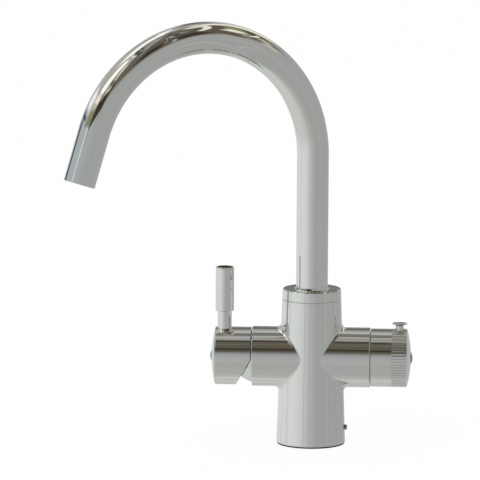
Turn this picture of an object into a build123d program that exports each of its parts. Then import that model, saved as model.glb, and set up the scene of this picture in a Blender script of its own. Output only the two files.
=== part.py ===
"""Boiling water tap: tapered column with a swivel swan neck, a lever mixer on the left arm
and a knurled dial with a safety button on the right arm.

Frame: millimetres, +Z up, origin where the column's axis meets the worktop. The two arms lie
along X, lever on -X and dial on +X. The front of the tap looks towards -Y.
"""

import os
from math import asin, cos, degrees, pi, radians, sin, sqrt, tan

from build123d import *

os.makedirs("parts", exist_ok=True)

# Clearances shared by all fits, measured on the radius or along the axis
RUNNING_FIT = 0.05
SLIDING_GAP = 0.1
BODY_GAP = 0.3
SEAT_GAP = 0.02

# Column and arms
COLUMN_BASE_R = 30.35
COLUMN_TOP_R = 25.67
COLUMN_HEIGHT = 138.2
ARM_AXIS_Z = 77.1
ARM_R = 26.35
ARM_REACH = 52.0
ARM_FILLET_R = 4.0
EDGE_BREAK = 0.4

# Base: gasket, threaded sleeve, set screw, hose cavity and hose ports
GASKET_THICKNESS = 1.0
GASKET_INSET = 0.7
HOSE_CAVITY_R = 22.0
HOSE_CAVITY_TOP_Z = 45.0
SLEEVE_HEIGHT = 26.0
SHANK_THREAD_R = 15.19
SET_SCREW_R = 2.5
SET_SCREW_Z = 14.4
SET_SCREW_STANDS_OUT = 2.0
SET_SCREW_KEY_ACROSS = 2.5
SET_SCREW_KEY_DEPTH = 3.0
SLEEVE_GROOVE_DEPTH = 1.5
HOSE_PORT_R = 4.46
HOSE_PORT_DEPTH = 12.0
HOSE_PORT_OFFSET = 6.7
PASSAGE_R = 2.5

# Spout
SPOUT_TUBE_R = 14.0
SPOUT_WALL = 1.2
SPOUT_BEND_R = 110.0
SPOUT_LEG_LENGTH = 118.4
SPOUT_SWEEP_DEG = 162.15
SPOUT_END_LENGTH = 46.5
SPOUT_HEADING_DEG = 30.65

# Swivel joint in the top of the column
COLLAR_HEIGHT = 9.2
COLLAR_CHAMFER = 0.7
COLLAR_LEAD_IN = 1.2
SOCKET_R = 18.0
SOCKET_ABOVE_ARM_AXIS = 28.9
NOSE_BORE_R = 13.0
NOSE_BORE_DEPTH = 12.0
NOSE_LENGTH = 9.0
FLANGE_R = 17.4
FLANGE_THICKNESS = 4.4
SPIGOT_LENGTH = 18.0
ADAPTOR_BORE_R = 8.5
O_RING_GROOVE_SIDE_GAP = 0.1
WASHER_THICKNESS = 1.5
O_RING_R = 0.95
O_RING_SPACING = 4.0
INNER_TUBE_R = 3.0
INNER_TUBE_WALL = 0.9
INNER_TUBE_FOOT_DEPTH = 6.4
INNER_SEAL_DEPTH = 3.0
INNER_SEAL_R = 0.75

# Outlet fitting
OUTLET_RING_WALL = 1.5
OUTLET_RING_LENGTH = 14.0
OUTLET_RECESS = 1.0
OUTLET_LIP_THICKNESS = 1.0
OUTLET_LIP_WIDTH = 1.0
OUTLET_INSERT_LENGTH = 9.0
OUTLET_SEAL_THICKNESS = 1.5
OUTLET_JET_R = 1.0
OUTLET_JET_CIRCLE_R = 7.2
OUTLET_JETS = 14

# Valve seats in the arms
SEAT_DEPTH = 35.0
SEAT_PORT_DROP = 6.5
SEAT_PORT_RISE = 7.0
MIXED_RISER_DISTANCE = 8.5
NUT_BORE_DEPTH = 6.0
BASE_THICKNESS = 4.0
BASE_SEAL_HEIGHT = 0.6
SEAL_RING_R = 0.8
DISC_THICKNESS = 3.5
CLAMP_NUT_LENGTH = 4.5
NUT_KEYWAY_WIDTH = 4.0
NUT_KEYWAY_DEPTH = 2.0
HANDLE_GAP = 0.8
CARTRIDGE_GAP = 0.2
DRIVE_ACROSS_FLATS = 7.0
DRIVE_CORNER_R = 4.4

# Mixer cartridge in the left arm
MIXER_BORE_R = 18.0
MIXER_NUT_BORE_R = 20.5
MIXER_CAVITY_R = 14.06
MIXER_NECK_R = 14.8
MIXER_NECK_LENGTH = 4.0
MOVING_DISC_R = 9.5
MOVING_DISC_POCKET_R = 6.0
MOVING_DISC_POCKET_DEPTH = 1.8
DISC_REST_OFFSET = 3.0
CARRIER_THICKNESS = 5.7
STEM_BALL_R = 3.0
STEM_BALL_INSIDE = 1.0
PIVOT_INSIDE_FACE = 4.6
STEM_SHAFT_R = 2.2
STEM_SQUARE_BEHIND_PIVOT = 6.46
TURRET_NECK_R = 11.3
TURRET_NECK_LENGTH = 5.0
TURRET_SHOULDER_INSIDE_NUT_BORE = 0.5
STEM_PIN_R = 1.5
LEVER_TILT_DEG = 25.0

# Lever
DOME_GAP = 0.4
DOME_WALL = 1.5
DOME_SKIRT_WALL = 1.5
DOME_WEB = 1.0
BARREL_R = 25.5
BARREL_WALL = 1.9
BARREL_LENGTH = 31.4
CUT_ANGLE_DEG = 28.0
CUT_START_ABOVE_AXIS = 1.0
HANDLE_FROM_BARREL_END = 7.5
HANDLE_NECK_R = 6.2
HANDLE_NECK_LENGTH = 14.8
HANDLE_GRIP_R = 8.1
HANDLE_GRIP_LENGTH = 39.0
HANDLE_TOP_CHAMFER = 0.9
HANDLE_STUB_R = 3.0
HANDLE_STUB_LENGTH = 14.0
STEM_SOCKET_DEPTH = 5.6
GRUB_SCREW_R = 2.5
GRUB_SCREW_LENGTH = 9.0
GRUB_SCREW_KEY_ACROSS = 2.5

# End caps and beads of lever and dial
CAP_RIM_INSET = 0.4
CAP_RISE = 3.8
CAP_RIM_LAND = 0.4
CAP_SPIGOT_WALL = 3.5
CAP_SPIGOT_LENGTH = 1.4
CAP_RECESS_WALL = 3.0
CAP_RECESS_DEPTH = 2.2
LEVER_BEAD_R = 4.6
DIAL_BEAD_R = 5.7
BEAD_DEPTH = 2.0
BEAD_RISE = 1.4

# Valve cartridge in the right arm
VALVE_BORE_R = 16.0
VALVE_NUT_BORE_R = 18.5
VALVE_CAVITY_R = 12.45
VALVE_RECESS_R = 11.5
VALVE_RECESS_CENTRE_R = 4.0
VALVE_RECESS_HALF_ANGLE = 60.0
VALVE_RECESS_DEPTH = 1.8
SPINDLE_FLANGE_THICKNESS = 4.3
SPINDLE_SHAFT_R = 5.0
SPINDLE_SHAFT_STANDS_OUT = 2.0
SPINDLE_SQUARE_LENGTH = 11.0
VALVE_NECK_R = 11.0
VALVE_NECK_LENGTH = 9.0

# Dial
DIAL_R = 25.6
DIAL_LENGTH = 31.2
DIAL_WALL = 3.0
DIAL_RIM_BREAK = 0.7
DIAL_WEB_THICKNESS = 6.0
DIAL_HUB_R = 9.0
DIAL_HUB_GAP = 0.5
DIAL_HUB_NOSE_LENGTH = 2.5
DIAL_HUB_FLOOR = 3.9
DIAL_SCREW_R = 2.0
DIAL_SCREW_HEAD_R = 3.6
DIAL_SCREW_HEAD_HEIGHT = 2.6
DIAL_SCREW_LENGTH = 10.0
DIAL_SCREW_KEY_ACROSS = 3.0
KNURL_LENGTH = 12.7
KNURL_COUNT = 60
KNURL_DEPTH = 0.35
KNURL_WIDTH = 2.0
STOP_RING_R = 21.5
STOP_RING_THICKNESS = 2.6
STOP_SLOT_R = 16.5
STOP_LUG_R = 2.0
DIAL_TURN_DEG = 90.0

# Safety button
BUTTON_CAP_GAP = 0.4
BUTTON_HEAD_R = 6.75
BUTTON_STANDS_OUT = 5.8
BUTTON_HEAD_RIM = 0.7
BUTTON_HEAD_CONE = 1.6
BUTTON_STEM_R = 3.45
BUTTON_SHOULDER_DEPTH = 7.5
BUTTON_TAIL_R = 1.6
BUTTON_TAIL_END_RADIUS = 8.0
BUTTON_TRAVEL = 2.3
BUSH_R = 4.6
BUSH_GUIDE_LENGTH = 4.0
BUSH_BOTTOM_RADIUS = 10.0
BUSH_FLOOR = 1.5
BUSH_SPRING_WALL = 0.8
BUSH_STANDS_OUT = 0.2
SPRING_WIRE_R = 0.35
SPRING_MEAN_R = 2.75
SPRING_TURNS = 5
CLIP_R = 3.2
CLIP_THICKNESS = 0.7

# Places that several pieces share, worked out from the sizes above.
# An arm's plane looks outwards along the arm, with its x upwards. An arm's section plane has its
# x outwards along the arm and its y upwards, so a profile there is (distance, radius).
FROM_BASE = (Align.CENTER, Align.CENTER, Align.MIN)
ARM_AXIS = Axis((0, 0, ARM_AXIS_Z), (1, 0, 0))
LEFT_ARM = Plane(origin=(0, 0, ARM_AXIS_Z), x_dir=(0, 0, 1), z_dir=(-1, 0, 0))
RIGHT_ARM = Plane(origin=(0, 0, ARM_AXIS_Z), x_dir=(0, 0, 1), z_dir=(1, 0, 0))
LEFT_SECTION = Plane(origin=(0, 0, ARM_AXIS_Z), x_dir=(-1, 0, 0), z_dir=(0, 1, 0))
RIGHT_SECTION = Plane(origin=(0, 0, ARM_AXIS_Z), x_dir=(1, 0, 0), z_dir=(0, -1, 0))
SET_SCREW_PLANE = Plane(origin=(0, 0, SET_SCREW_Z), x_dir=(0, 1, 0), z_dir=(1, 0, 0))
COLLAR_FOOT_Z = COLUMN_HEIGHT - COLLAR_HEIGHT
SOCKET_FLOOR_Z = ARM_AXIS_Z + SOCKET_ABOVE_ARM_AXIS
NOSE_BORE_FLOOR_Z = SOCKET_FLOOR_Z - NOSE_BORE_DEPTH
INNER_TUBE_FOOT_Z = NOSE_BORE_FLOOR_Z - INNER_TUBE_FOOT_DEPTH
INNER_SEAL_Z = NOSE_BORE_FLOOR_Z - INNER_SEAL_DEPTH
ADAPTOR_FLANGE_Z = SOCKET_FLOOR_Z + WASHER_THICKNESS + SLIDING_GAP
SPOUT_FOOT_Z = ADAPTOR_FLANGE_Z + FLANGE_THICKNESS
SPOUT_BORE_R = SPOUT_TUBE_R - SPOUT_WALL
SPOUT_BEND_START_Z = COLUMN_HEIGHT + SPOUT_LEG_LENGTH
SEAT_DISTANCE = ARM_REACH - SEAT_DEPTH
BASE_FOOT = SEAT_DISTANCE + BASE_SEAL_HEIGHT
FIXED_DISC_FOOT = BASE_FOOT + BASE_THICKNESS
TURNING_DISC_FOOT = FIXED_DISC_FOOT + DISC_THICKNESS + SEAT_GAP
TURNING_DISC_END = TURNING_DISC_FOOT + DISC_THICKNESS
NUT_BORE_START = ARM_REACH - NUT_BORE_DEPTH
PIVOT_DISTANCE = ARM_REACH - PIVOT_INSIDE_FACE
TURRET_SHOULDER = NUT_BORE_START - TURRET_SHOULDER_INSIDE_NUT_BORE
TURRET_END = TURRET_SHOULDER + TURRET_NECK_LENGTH
HANDLE_RIM = ARM_REACH + HANDLE_GAP
DOME_R = BARREL_R - BARREL_WALL - DOME_GAP
BARREL_END = HANDLE_RIM + BARREL_LENGTH
HANDLE_DISTANCE = BARREL_END - HANDLE_FROM_BARREL_END
HANDLE_SHOULDER_Z = ARM_AXIS_Z + BARREL_R + HANDLE_NECK_LENGTH
HANDLE_TOP_Z = HANDLE_SHOULDER_Z + HANDLE_GRIP_LENGTH
VALVE_NECK_END = NUT_BORE_START + VALVE_NECK_LENGTH
SPINDLE_SHOULDER = VALVE_NECK_END + SPINDLE_SHAFT_STANDS_OUT
SPINDLE_END = SPINDLE_SHOULDER + SPINDLE_SQUARE_LENGTH
DIAL_END = HANDLE_RIM + DIAL_LENGTH
KNURL_START = DIAL_END - KNURL_LENGTH
DIAL_HUB_START = SPINDLE_SHOULDER + DIAL_HUB_GAP
DIAL_HUB_SOCKET_END = SPINDLE_END + SLIDING_GAP
DIAL_HUB_END = DIAL_HUB_SOCKET_END + DIAL_HUB_FLOOR
DIAL_WEB_START = DIAL_HUB_START + DIAL_HUB_NOSE_LENGTH
BUTTON_DISTANCE = DIAL_END - CAP_SPIGOT_LENGTH - BUTTON_CAP_GAP - BUSH_R
BUTTON_HEAD_TOP_Z = ARM_AXIS_Z + DIAL_R + BUTTON_STANDS_OUT


def column_radius(z):
    """Outer radius of the column at a height."""
    return COLUMN_BASE_R + (COLUMN_TOP_R - COLUMN_BASE_R) * z / COLUMN_HEIGHT


def save(piece, name):
    """Labels a finished piece and writes its file."""
    piece.part.label = name
    export_step(piece.part, f"parts/{name}.step")


# Body casting: column and two arms in one, bored for the hoses, the cartridges and the spout.
with BuildPart() as body_casting:
    with BuildSketch(Plane.XZ):
        with BuildLine():
            Polyline(
                (0, GASKET_THICKNESS),
                (column_radius(GASKET_THICKNESS), GASKET_THICKNESS),
                (column_radius(COLLAR_FOOT_Z), COLLAR_FOOT_Z),
                (0, COLLAR_FOOT_Z),
                close=True,
            )
        make_face()
    revolve(axis=Axis.Z)
    with BuildSketch(LEFT_ARM.offset(-ARM_REACH)):
        Circle(ARM_R)
    extrude(amount=2 * ARM_REACH)
    round_edges = body_casting.edges().filter_by(GeomType.CIRCLE)
    arm_roots = (body_casting.edges() - round_edges).filter_by(GeomType.LINE, reverse=True)
    fillet(arm_roots, ARM_FILLET_R)
    end_faces = body_casting.faces().filter_by(Axis.Z) + body_casting.faces().filter_by(Axis.X)
    chamfer(end_faces.edges(), EDGE_BREAK)
    # Hose cavity and the four hose ports in its roof
    with BuildSketch(Plane.XY):
        Circle(HOSE_CAVITY_R)
    extrude(amount=HOSE_CAVITY_TOP_Z, mode=Mode.SUBTRACT)
    with BuildSketch(Plane.XY.offset(HOSE_CAVITY_TOP_Z)):
        with GridLocations(2 * HOSE_PORT_OFFSET, 2 * HOSE_PORT_OFFSET, 2, 2):
            Circle(HOSE_PORT_R)
    extrude(amount=HOSE_PORT_DEPTH, mode=Mode.SUBTRACT)
    with BuildSketch(Plane.XY.offset(HOSE_CAVITY_TOP_Z)):
        with GridLocations(2 * HOSE_PORT_OFFSET, 2 * HOSE_PORT_OFFSET, 2, 2):
            Circle(PASSAGE_R)
    extrude(amount=ARM_AXIS_Z - SEAT_PORT_DROP - HOSE_CAVITY_TOP_Z, mode=Mode.SUBTRACT)
    # Cartridge bores, and the passages from the seats to the risers
    for arm, bore_r, nut_bore_r, riser in (
        (LEFT_ARM, MIXER_BORE_R, MIXER_NUT_BORE_R, MIXED_RISER_DISTANCE),
        (RIGHT_ARM, VALVE_BORE_R, VALVE_NUT_BORE_R, 0),
    ):
        with BuildSketch(arm.offset(SEAT_DISTANCE)):
            Circle(bore_r)
        extrude(amount=ARM_REACH - SEAT_DISTANCE, mode=Mode.SUBTRACT)
        with BuildSketch(arm.offset(NUT_BORE_START)):
            Circle(nut_bore_r)
        extrude(amount=ARM_REACH - NUT_BORE_START, mode=Mode.SUBTRACT)
        with BuildSketch(arm.offset(HOSE_PORT_OFFSET)):
            with Locations((-SEAT_PORT_DROP, HOSE_PORT_OFFSET), (-SEAT_PORT_DROP, -HOSE_PORT_OFFSET)):
                Circle(PASSAGE_R)
        extrude(amount=SEAT_DISTANCE - HOSE_PORT_OFFSET, mode=Mode.SUBTRACT)
        with BuildSketch(arm.offset(riser)):
            with Locations((SEAT_PORT_RISE, 0)):
                Circle(PASSAGE_R)
        extrude(amount=SEAT_DISTANCE - riser, mode=Mode.SUBTRACT)
    # Risers to the swivel socket: mixed water, and the inner tube's socket
    riser_foot = Plane.XY.offset(ARM_AXIS_Z + SEAT_PORT_RISE)
    riser_height = NOSE_BORE_FLOOR_Z - ARM_AXIS_Z - SEAT_PORT_RISE
    with BuildSketch(riser_foot):
        with Locations((-MIXED_RISER_DISTANCE, 0)):
            Circle(PASSAGE_R)
        Circle(INNER_TUBE_R + RUNNING_FIT)
    extrude(amount=riser_height, mode=Mode.SUBTRACT)
    with BuildSketch(Plane.XY.offset(INNER_SEAL_Z - INNER_SEAL_R - SEAT_GAP)):
        Circle(INNER_TUBE_R + 2 * INNER_SEAL_R + RUNNING_FIT)
    extrude(amount=2 * (INNER_SEAL_R + SEAT_GAP), mode=Mode.SUBTRACT)
    with BuildSketch(Plane.XY.offset(NOSE_BORE_FLOOR_Z)):
        Circle(NOSE_BORE_R)
    extrude(amount=SOCKET_FLOOR_Z - NOSE_BORE_FLOOR_Z, mode=Mode.SUBTRACT)
    with BuildSketch(Plane.XY.offset(SOCKET_FLOOR_Z)):
        Circle(SOCKET_R)
    extrude(amount=COLLAR_FOOT_Z - SOCKET_FLOOR_Z, mode=Mode.SUBTRACT)
    # Hole for the set screw
    with BuildSketch(SET_SCREW_PLANE):
        Circle(SET_SCREW_R + SEAT_GAP)
    extrude(amount=COLUMN_BASE_R, mode=Mode.SUBTRACT)
save(body_casting, "body_casting")


# Gasket under the column: a rubber ring, set back a little so that it shows as a dark line.
with BuildPart() as base_gasket:
    Cylinder(COLUMN_BASE_R - GASKET_INSET, GASKET_THICKNESS, align=FROM_BASE)
    Cylinder(HOSE_CAVITY_R, GASKET_THICKNESS, align=FROM_BASE, mode=Mode.SUBTRACT)
save(base_gasket, "base_gasket")

# Mounting sleeve: a brass ring in the foot of the column. The hollow shank from below the worktop
# screws into it, and the set screw in the column locks into its groove.
SLEEVE_R = HOSE_CAVITY_R - BODY_GAP
with BuildPart() as mounting_sleeve:
    Cylinder(SLEEVE_R, SLEEVE_HEIGHT, align=FROM_BASE)
    Cylinder(SHANK_THREAD_R, SLEEVE_HEIGHT, align=FROM_BASE, mode=Mode.SUBTRACT)
    with BuildSketch(Plane.XY.offset(SET_SCREW_Z - SET_SCREW_R - RUNNING_FIT)):
        Circle(SLEEVE_R)
        Circle(SLEEVE_R - SLEEVE_GROOVE_DEPTH, mode=Mode.SUBTRACT)
    extrude(amount=2 * (SET_SCREW_R + RUNNING_FIT), mode=Mode.SUBTRACT)
save(mounting_sleeve, "mounting_sleeve")

# Set screw: stands out at the right of the base, with a hex socket in its end.
set_screw_tip = SLEEVE_R - SLEEVE_GROOVE_DEPTH + RUNNING_FIT
set_screw_length = column_radius(SET_SCREW_Z) + SET_SCREW_STANDS_OUT - set_screw_tip
with BuildPart() as base_set_screw:
    with BuildSketch(SET_SCREW_PLANE.offset(set_screw_tip)):
        Circle(SET_SCREW_R)
    extrude(amount=set_screw_length)
    chamfer(base_set_screw.faces().sort_by(Axis.X)[-1].edges(), EDGE_BREAK)
    with BuildSketch(SET_SCREW_PLANE.offset(set_screw_tip + set_screw_length - SET_SCREW_KEY_DEPTH)):
        RegularPolygon(SET_SCREW_KEY_ACROSS / 2, 6, major_radius=False)
    extrude(amount=SET_SCREW_KEY_DEPTH, mode=Mode.SUBTRACT)
save(base_set_screw, "base_set_screw")

# Swivel adaptor: brass spigot brazed into the foot of the spout. Its nose turns in the column.
with BuildPart() as swivel_adaptor:
    with BuildSketch(Plane.XZ):
        with BuildLine():
            Polyline(
                (ADAPTOR_BORE_R, SOCKET_FLOOR_Z - NOSE_LENGTH),
                (NOSE_BORE_R - RUNNING_FIT, SOCKET_FLOOR_Z - NOSE_LENGTH),
                (NOSE_BORE_R - RUNNING_FIT, ADAPTOR_FLANGE_Z),
                (FLANGE_R, ADAPTOR_FLANGE_Z),
                (FLANGE_R, SPOUT_FOOT_Z),
                (SPOUT_BORE_R - SEAT_GAP, SPOUT_FOOT_Z),
                (SPOUT_BORE_R - SEAT_GAP, SPOUT_FOOT_Z + SPIGOT_LENGTH),
                (ADAPTOR_BORE_R, SPOUT_FOOT_Z + SPIGOT_LENGTH),
                close=True,
            )
        make_face()
    revolve(axis=Axis.Z)
    ring_centre_r = NOSE_BORE_R - SEAT_GAP - O_RING_R
    ring_heights = [SOCKET_FLOOR_Z - NOSE_LENGTH / 2 + side * O_RING_SPACING / 2 for side in (-1, 1)]
    for z in ring_heights:
        with BuildSketch(Plane.XY.offset(z - O_RING_R - O_RING_GROOVE_SIDE_GAP)):
            Circle(NOSE_BORE_R)
            Circle(ring_centre_r - O_RING_R - SEAT_GAP, mode=Mode.SUBTRACT)
        extrude(amount=2 * (O_RING_R + O_RING_GROOVE_SIDE_GAP), mode=Mode.SUBTRACT)
save(swivel_adaptor, "swivel_adaptor")

# O-rings of the swivel: two rubber rings in the grooves of the adaptor's nose.
with BuildPart() as swivel_o_rings:
    with Locations(*[(0, 0, z) for z in ring_heights]):
        Torus(ring_centre_r, O_RING_R)
save(swivel_o_rings, "swivel_o_rings")

# Thrust washers: plastic rings under and over the adaptor's flange.
with BuildPart(Plane.XY.offset(SOCKET_FLOOR_Z)) as lower_swivel_washer:
    Cylinder(SOCKET_R - BODY_GAP, WASHER_THICKNESS, align=FROM_BASE)
    Cylinder(NOSE_BORE_R + BODY_GAP, WASHER_THICKNESS, align=FROM_BASE, mode=Mode.SUBTRACT)
save(lower_swivel_washer, "lower_swivel_washer")

upper_washer_z = SPOUT_FOOT_Z + SLIDING_GAP
with BuildPart(Plane.XY.offset(upper_washer_z)) as upper_swivel_washer:
    Cylinder(SOCKET_R - BODY_GAP, WASHER_THICKNESS, align=FROM_BASE)
    Cylinder(SPOUT_TUBE_R + BODY_GAP, WASHER_THICKNESS, align=FROM_BASE, mode=Mode.SUBTRACT)
save(upper_swivel_washer, "upper_swivel_washer")

# Collar: the ring that ends the column. Its threaded plug holds the spout down in the socket.
plug_foot_z = upper_washer_z + WASHER_THICKNESS
with BuildPart() as spout_collar:
    with BuildSketch(Plane.XZ):
        with BuildLine():
            Polyline(
                (SPOUT_TUBE_R + BODY_GAP, plug_foot_z),
                (SOCKET_R - RUNNING_FIT, plug_foot_z),
                (SOCKET_R - RUNNING_FIT, COLLAR_FOOT_Z),
                (column_radius(COLLAR_FOOT_Z) - EDGE_BREAK, COLLAR_FOOT_Z),
                (column_radius(COLLAR_FOOT_Z + EDGE_BREAK), COLLAR_FOOT_Z + EDGE_BREAK),
                (column_radius(COLUMN_HEIGHT - COLLAR_CHAMFER), COLUMN_HEIGHT - COLLAR_CHAMFER),
                (COLUMN_TOP_R - COLLAR_CHAMFER, COLUMN_HEIGHT),
                (SPOUT_TUBE_R + BODY_GAP + COLLAR_LEAD_IN, COLUMN_HEIGHT),
                (SPOUT_TUBE_R + BODY_GAP, COLUMN_HEIGHT - COLLAR_LEAD_IN),
                close=True,
            )
        make_face()
    revolve(axis=Axis.Z)
save(spout_collar, "spout_collar")

# Spout centre line: up from a foot, over one bend and down a short straight to the outlet.
heading = radians(SPOUT_HEADING_DEG)
SPOUT_PLANE = Plane(
    origin=(0, 0, 0),
    x_dir=(-cos(heading), -sin(heading), 0),
    z_dir=(-sin(heading), cos(heading), 0),
)


def spout_line(foot_z, end_setback):
    """Centre line in the spout's plane, from a height to a distance short of the outlet."""
    with BuildLine(SPOUT_PLANE) as path:
        leg = Line((0, foot_z), (0, SPOUT_BEND_START_Z))
        bend = JernArc(leg @ 1, leg % 1, SPOUT_BEND_R, -SPOUT_SWEEP_DEG)
        Line(bend @ 1, bend @ 1 + (bend % 1) * (SPOUT_END_LENGTH - end_setback))
    return path.line


# Spout: one bent tube with a square end.
spout_path = spout_line(SPOUT_FOOT_Z, 0)
with BuildPart() as spout_tube:
    with BuildSketch(Plane.XY.offset(SPOUT_FOOT_Z)):
        Circle(SPOUT_TUBE_R)
        Circle(SPOUT_BORE_R, mode=Mode.SUBTRACT)
    sweep(path=spout_path)
    outlet_rim = spout_tube.edges().filter_by(GeomType.CIRCLE).group_by(
        lambda e: (e.arc_center - spout_path @ 1).length
    )[0]
    chamfer(outlet_rim.sort_by(SortBy.RADIUS)[-1], EDGE_BREAK)
save(spout_tube, "spout_tube")

# Outlet fitting: a ring in the end of the spout, a plastic insert with a ring of jets and a
# middle hole for the inner tube, and a seal behind the insert.
OUTLET = Plane(origin=spout_path @ 1, x_dir=SPOUT_PLANE.z_dir, z_dir=-(spout_path % 1))
outlet_bore_r = SPOUT_BORE_R - SEAT_GAP - OUTLET_RING_WALL
outlet_lip = OUTLET_RECESS + OUTLET_LIP_THICKNESS
with BuildPart() as outlet_ring:
    with BuildSketch(OUTLET.offset(OUTLET_RECESS)):
        Circle(SPOUT_BORE_R - SEAT_GAP)
        Circle(outlet_bore_r - OUTLET_LIP_WIDTH, mode=Mode.SUBTRACT)
    extrude(amount=OUTLET_RING_LENGTH)
    with BuildSketch(OUTLET.offset(outlet_lip)):
        Circle(outlet_bore_r)
    extrude(amount=OUTLET_RING_LENGTH, mode=Mode.SUBTRACT)
save(outlet_ring, "outlet_ring")

with BuildPart() as outlet_insert:
    with BuildSketch(OUTLET.offset(outlet_lip)):
        Circle(outlet_bore_r - SEAT_GAP)
        Circle(INNER_TUBE_R + SEAT_GAP, mode=Mode.SUBTRACT)
        with PolarLocations(OUTLET_JET_CIRCLE_R, OUTLET_JETS):
            Circle(OUTLET_JET_R, mode=Mode.SUBTRACT)
    extrude(amount=OUTLET_INSERT_LENGTH)
save(outlet_insert, "outlet_insert")

with BuildPart() as outlet_seal:
    with BuildSketch(OUTLET.offset(outlet_lip + OUTLET_INSERT_LENGTH)):
        Circle(outlet_bore_r - SEAT_GAP)
        Circle(OUTLET_JET_CIRCLE_R + OUTLET_JET_R + BODY_GAP, mode=Mode.SUBTRACT)
    extrude(amount=OUTLET_SEAL_THICKNESS)
save(outlet_seal, "outlet_seal")

# Inner water tube: carries boiling and filtered water apart from the mains water. Its foot turns
# in the column's middle riser, and its end sits in the outlet insert.
with BuildPart() as inner_water_tube:
    with BuildSketch(Plane.XY.offset(INNER_TUBE_FOOT_Z)):
        Circle(INNER_TUBE_R)
        Circle(INNER_TUBE_R - INNER_TUBE_WALL, mode=Mode.SUBTRACT)
    sweep(path=spout_line(INNER_TUBE_FOOT_Z, outlet_lip))
save(inner_water_tube, "inner_water_tube")

with BuildPart() as inner_tube_seal:
    with Locations((0, 0, INNER_SEAL_Z)):
        Torus(INNER_TUBE_R + INNER_SEAL_R + RUNNING_FIT / 2, INNER_SEAL_R)
save(inner_tube_seal, "inner_tube_seal")

# Ports of a valve seat, as (up, side) places in an arm's plane: two inlets below, one outlet above.
INLETS = [(-SEAT_PORT_DROP, HOSE_PORT_OFFSET), (-SEAT_PORT_DROP, -HOSE_PORT_OFFSET)]
SEAT_PORTS = INLETS + [(SEAT_PORT_RISE, 0)]
SEAL_SEAT_R = PASSAGE_R + BODY_GAP + 2 * SEAL_RING_R


def base_seals(arm):
    """Three rubber rings that seal a cartridge's ports on the seat in the arm."""
    with BuildPart(arm.offset(SEAT_DISTANCE + SEAL_RING_R)) as seals:
        with Locations(*[(up, side, 0) for up, side in SEAT_PORTS]):
            Torus(SEAL_SEAT_R - SEAL_RING_R, SEAL_RING_R)
    return seals


def cartridge_base(arm, bore_r):
    """Plastic foot of a cartridge, with the three ports and a pocket for each seal."""
    with BuildPart() as base:
        with BuildSketch(arm.offset(BASE_FOOT)):
            Circle(bore_r - CARTRIDGE_GAP)
            with Locations(*SEAT_PORTS):
                Circle(PASSAGE_R, mode=Mode.SUBTRACT)
        extrude(amount=BASE_THICKNESS)
        with BuildSketch(arm.offset(BASE_FOOT)):
            with Locations(*SEAT_PORTS):
                Circle(SEAL_SEAT_R + SEAT_GAP)
        extrude(amount=2 * SEAL_RING_R - BASE_SEAL_HEIGHT + SEAT_GAP, mode=Mode.SUBTRACT)
    return base


def clamp_nut(arm, thread_bore_r, neck_r):
    """Brass ring nut that holds a cartridge down, with two keyways for a pin spanner."""
    with BuildPart() as nut:
        with BuildSketch(arm.offset(NUT_BORE_START)):
            Circle(thread_bore_r - CARTRIDGE_GAP)
            Circle(neck_r + CARTRIDGE_GAP, mode=Mode.SUBTRACT)
        extrude(amount=CLAMP_NUT_LENGTH)
        with BuildSketch(arm.offset(NUT_BORE_START + CLAMP_NUT_LENGTH - NUT_KEYWAY_DEPTH)):
            Rectangle(NUT_KEYWAY_WIDTH, 2 * thread_bore_r)
        extrude(amount=NUT_KEYWAY_DEPTH, mode=Mode.SUBTRACT)
    return nut


def drive_section(clearance):
    """Square with rounded-off corners that drives a handle, or its socket with a clearance."""
    with BuildSketch(mode=Mode.PRIVATE) as section:
        Rectangle(DRIVE_ACROSS_FLATS + 2 * clearance, DRIVE_ACROSS_FLATS + 2 * clearance)
        Circle(DRIVE_CORNER_R + clearance, mode=Mode.INTERSECT)
    return section.sketch


# Mixer cartridge, fixed pieces: seals, base, ceramic disc, housing and clamp nut.
mixer_base_seals = base_seals(LEFT_ARM)
save(mixer_base_seals, "mixer_base_seals")

mixer_cartridge_base = cartridge_base(LEFT_ARM, MIXER_BORE_R)
save(mixer_cartridge_base, "mixer_cartridge_base")

with BuildPart() as mixer_fixed_disc:
    with BuildSketch(LEFT_ARM.offset(FIXED_DISC_FOOT)):
        Circle(MIXER_CAVITY_R - SLIDING_GAP)
        with Locations(*SEAT_PORTS):
            Circle(PASSAGE_R, mode=Mode.SUBTRACT)
    extrude(amount=DISC_THICKNESS)
save(mixer_fixed_disc, "mixer_fixed_disc")

with BuildPart() as mixer_cartridge_housing:
    with BuildSketch(LEFT_SECTION):
        with BuildLine():
            Polyline(
                (FIXED_DISC_FOOT, MIXER_CAVITY_R),
                (FIXED_DISC_FOOT, MIXER_BORE_R - CARTRIDGE_GAP),
                (NUT_BORE_START, MIXER_BORE_R - CARTRIDGE_GAP),
                (NUT_BORE_START, MIXER_NECK_R),
                (NUT_BORE_START + MIXER_NECK_LENGTH, MIXER_NECK_R),
                (NUT_BORE_START + MIXER_NECK_LENGTH, TURRET_NECK_R + RUNNING_FIT),
                (TURRET_SHOULDER + SLIDING_GAP, TURRET_NECK_R + RUNNING_FIT),
                (TURRET_SHOULDER + SLIDING_GAP, MIXER_CAVITY_R),
                close=True,
            )
        make_face()
    revolve(axis=ARM_AXIS)
save(mixer_cartridge_housing, "mixer_cartridge_housing")

mixer_clamp_nut = clamp_nut(LEFT_ARM, MIXER_NUT_BORE_R, MIXER_NECK_R)
save(mixer_clamp_nut, "mixer_clamp_nut")

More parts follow.
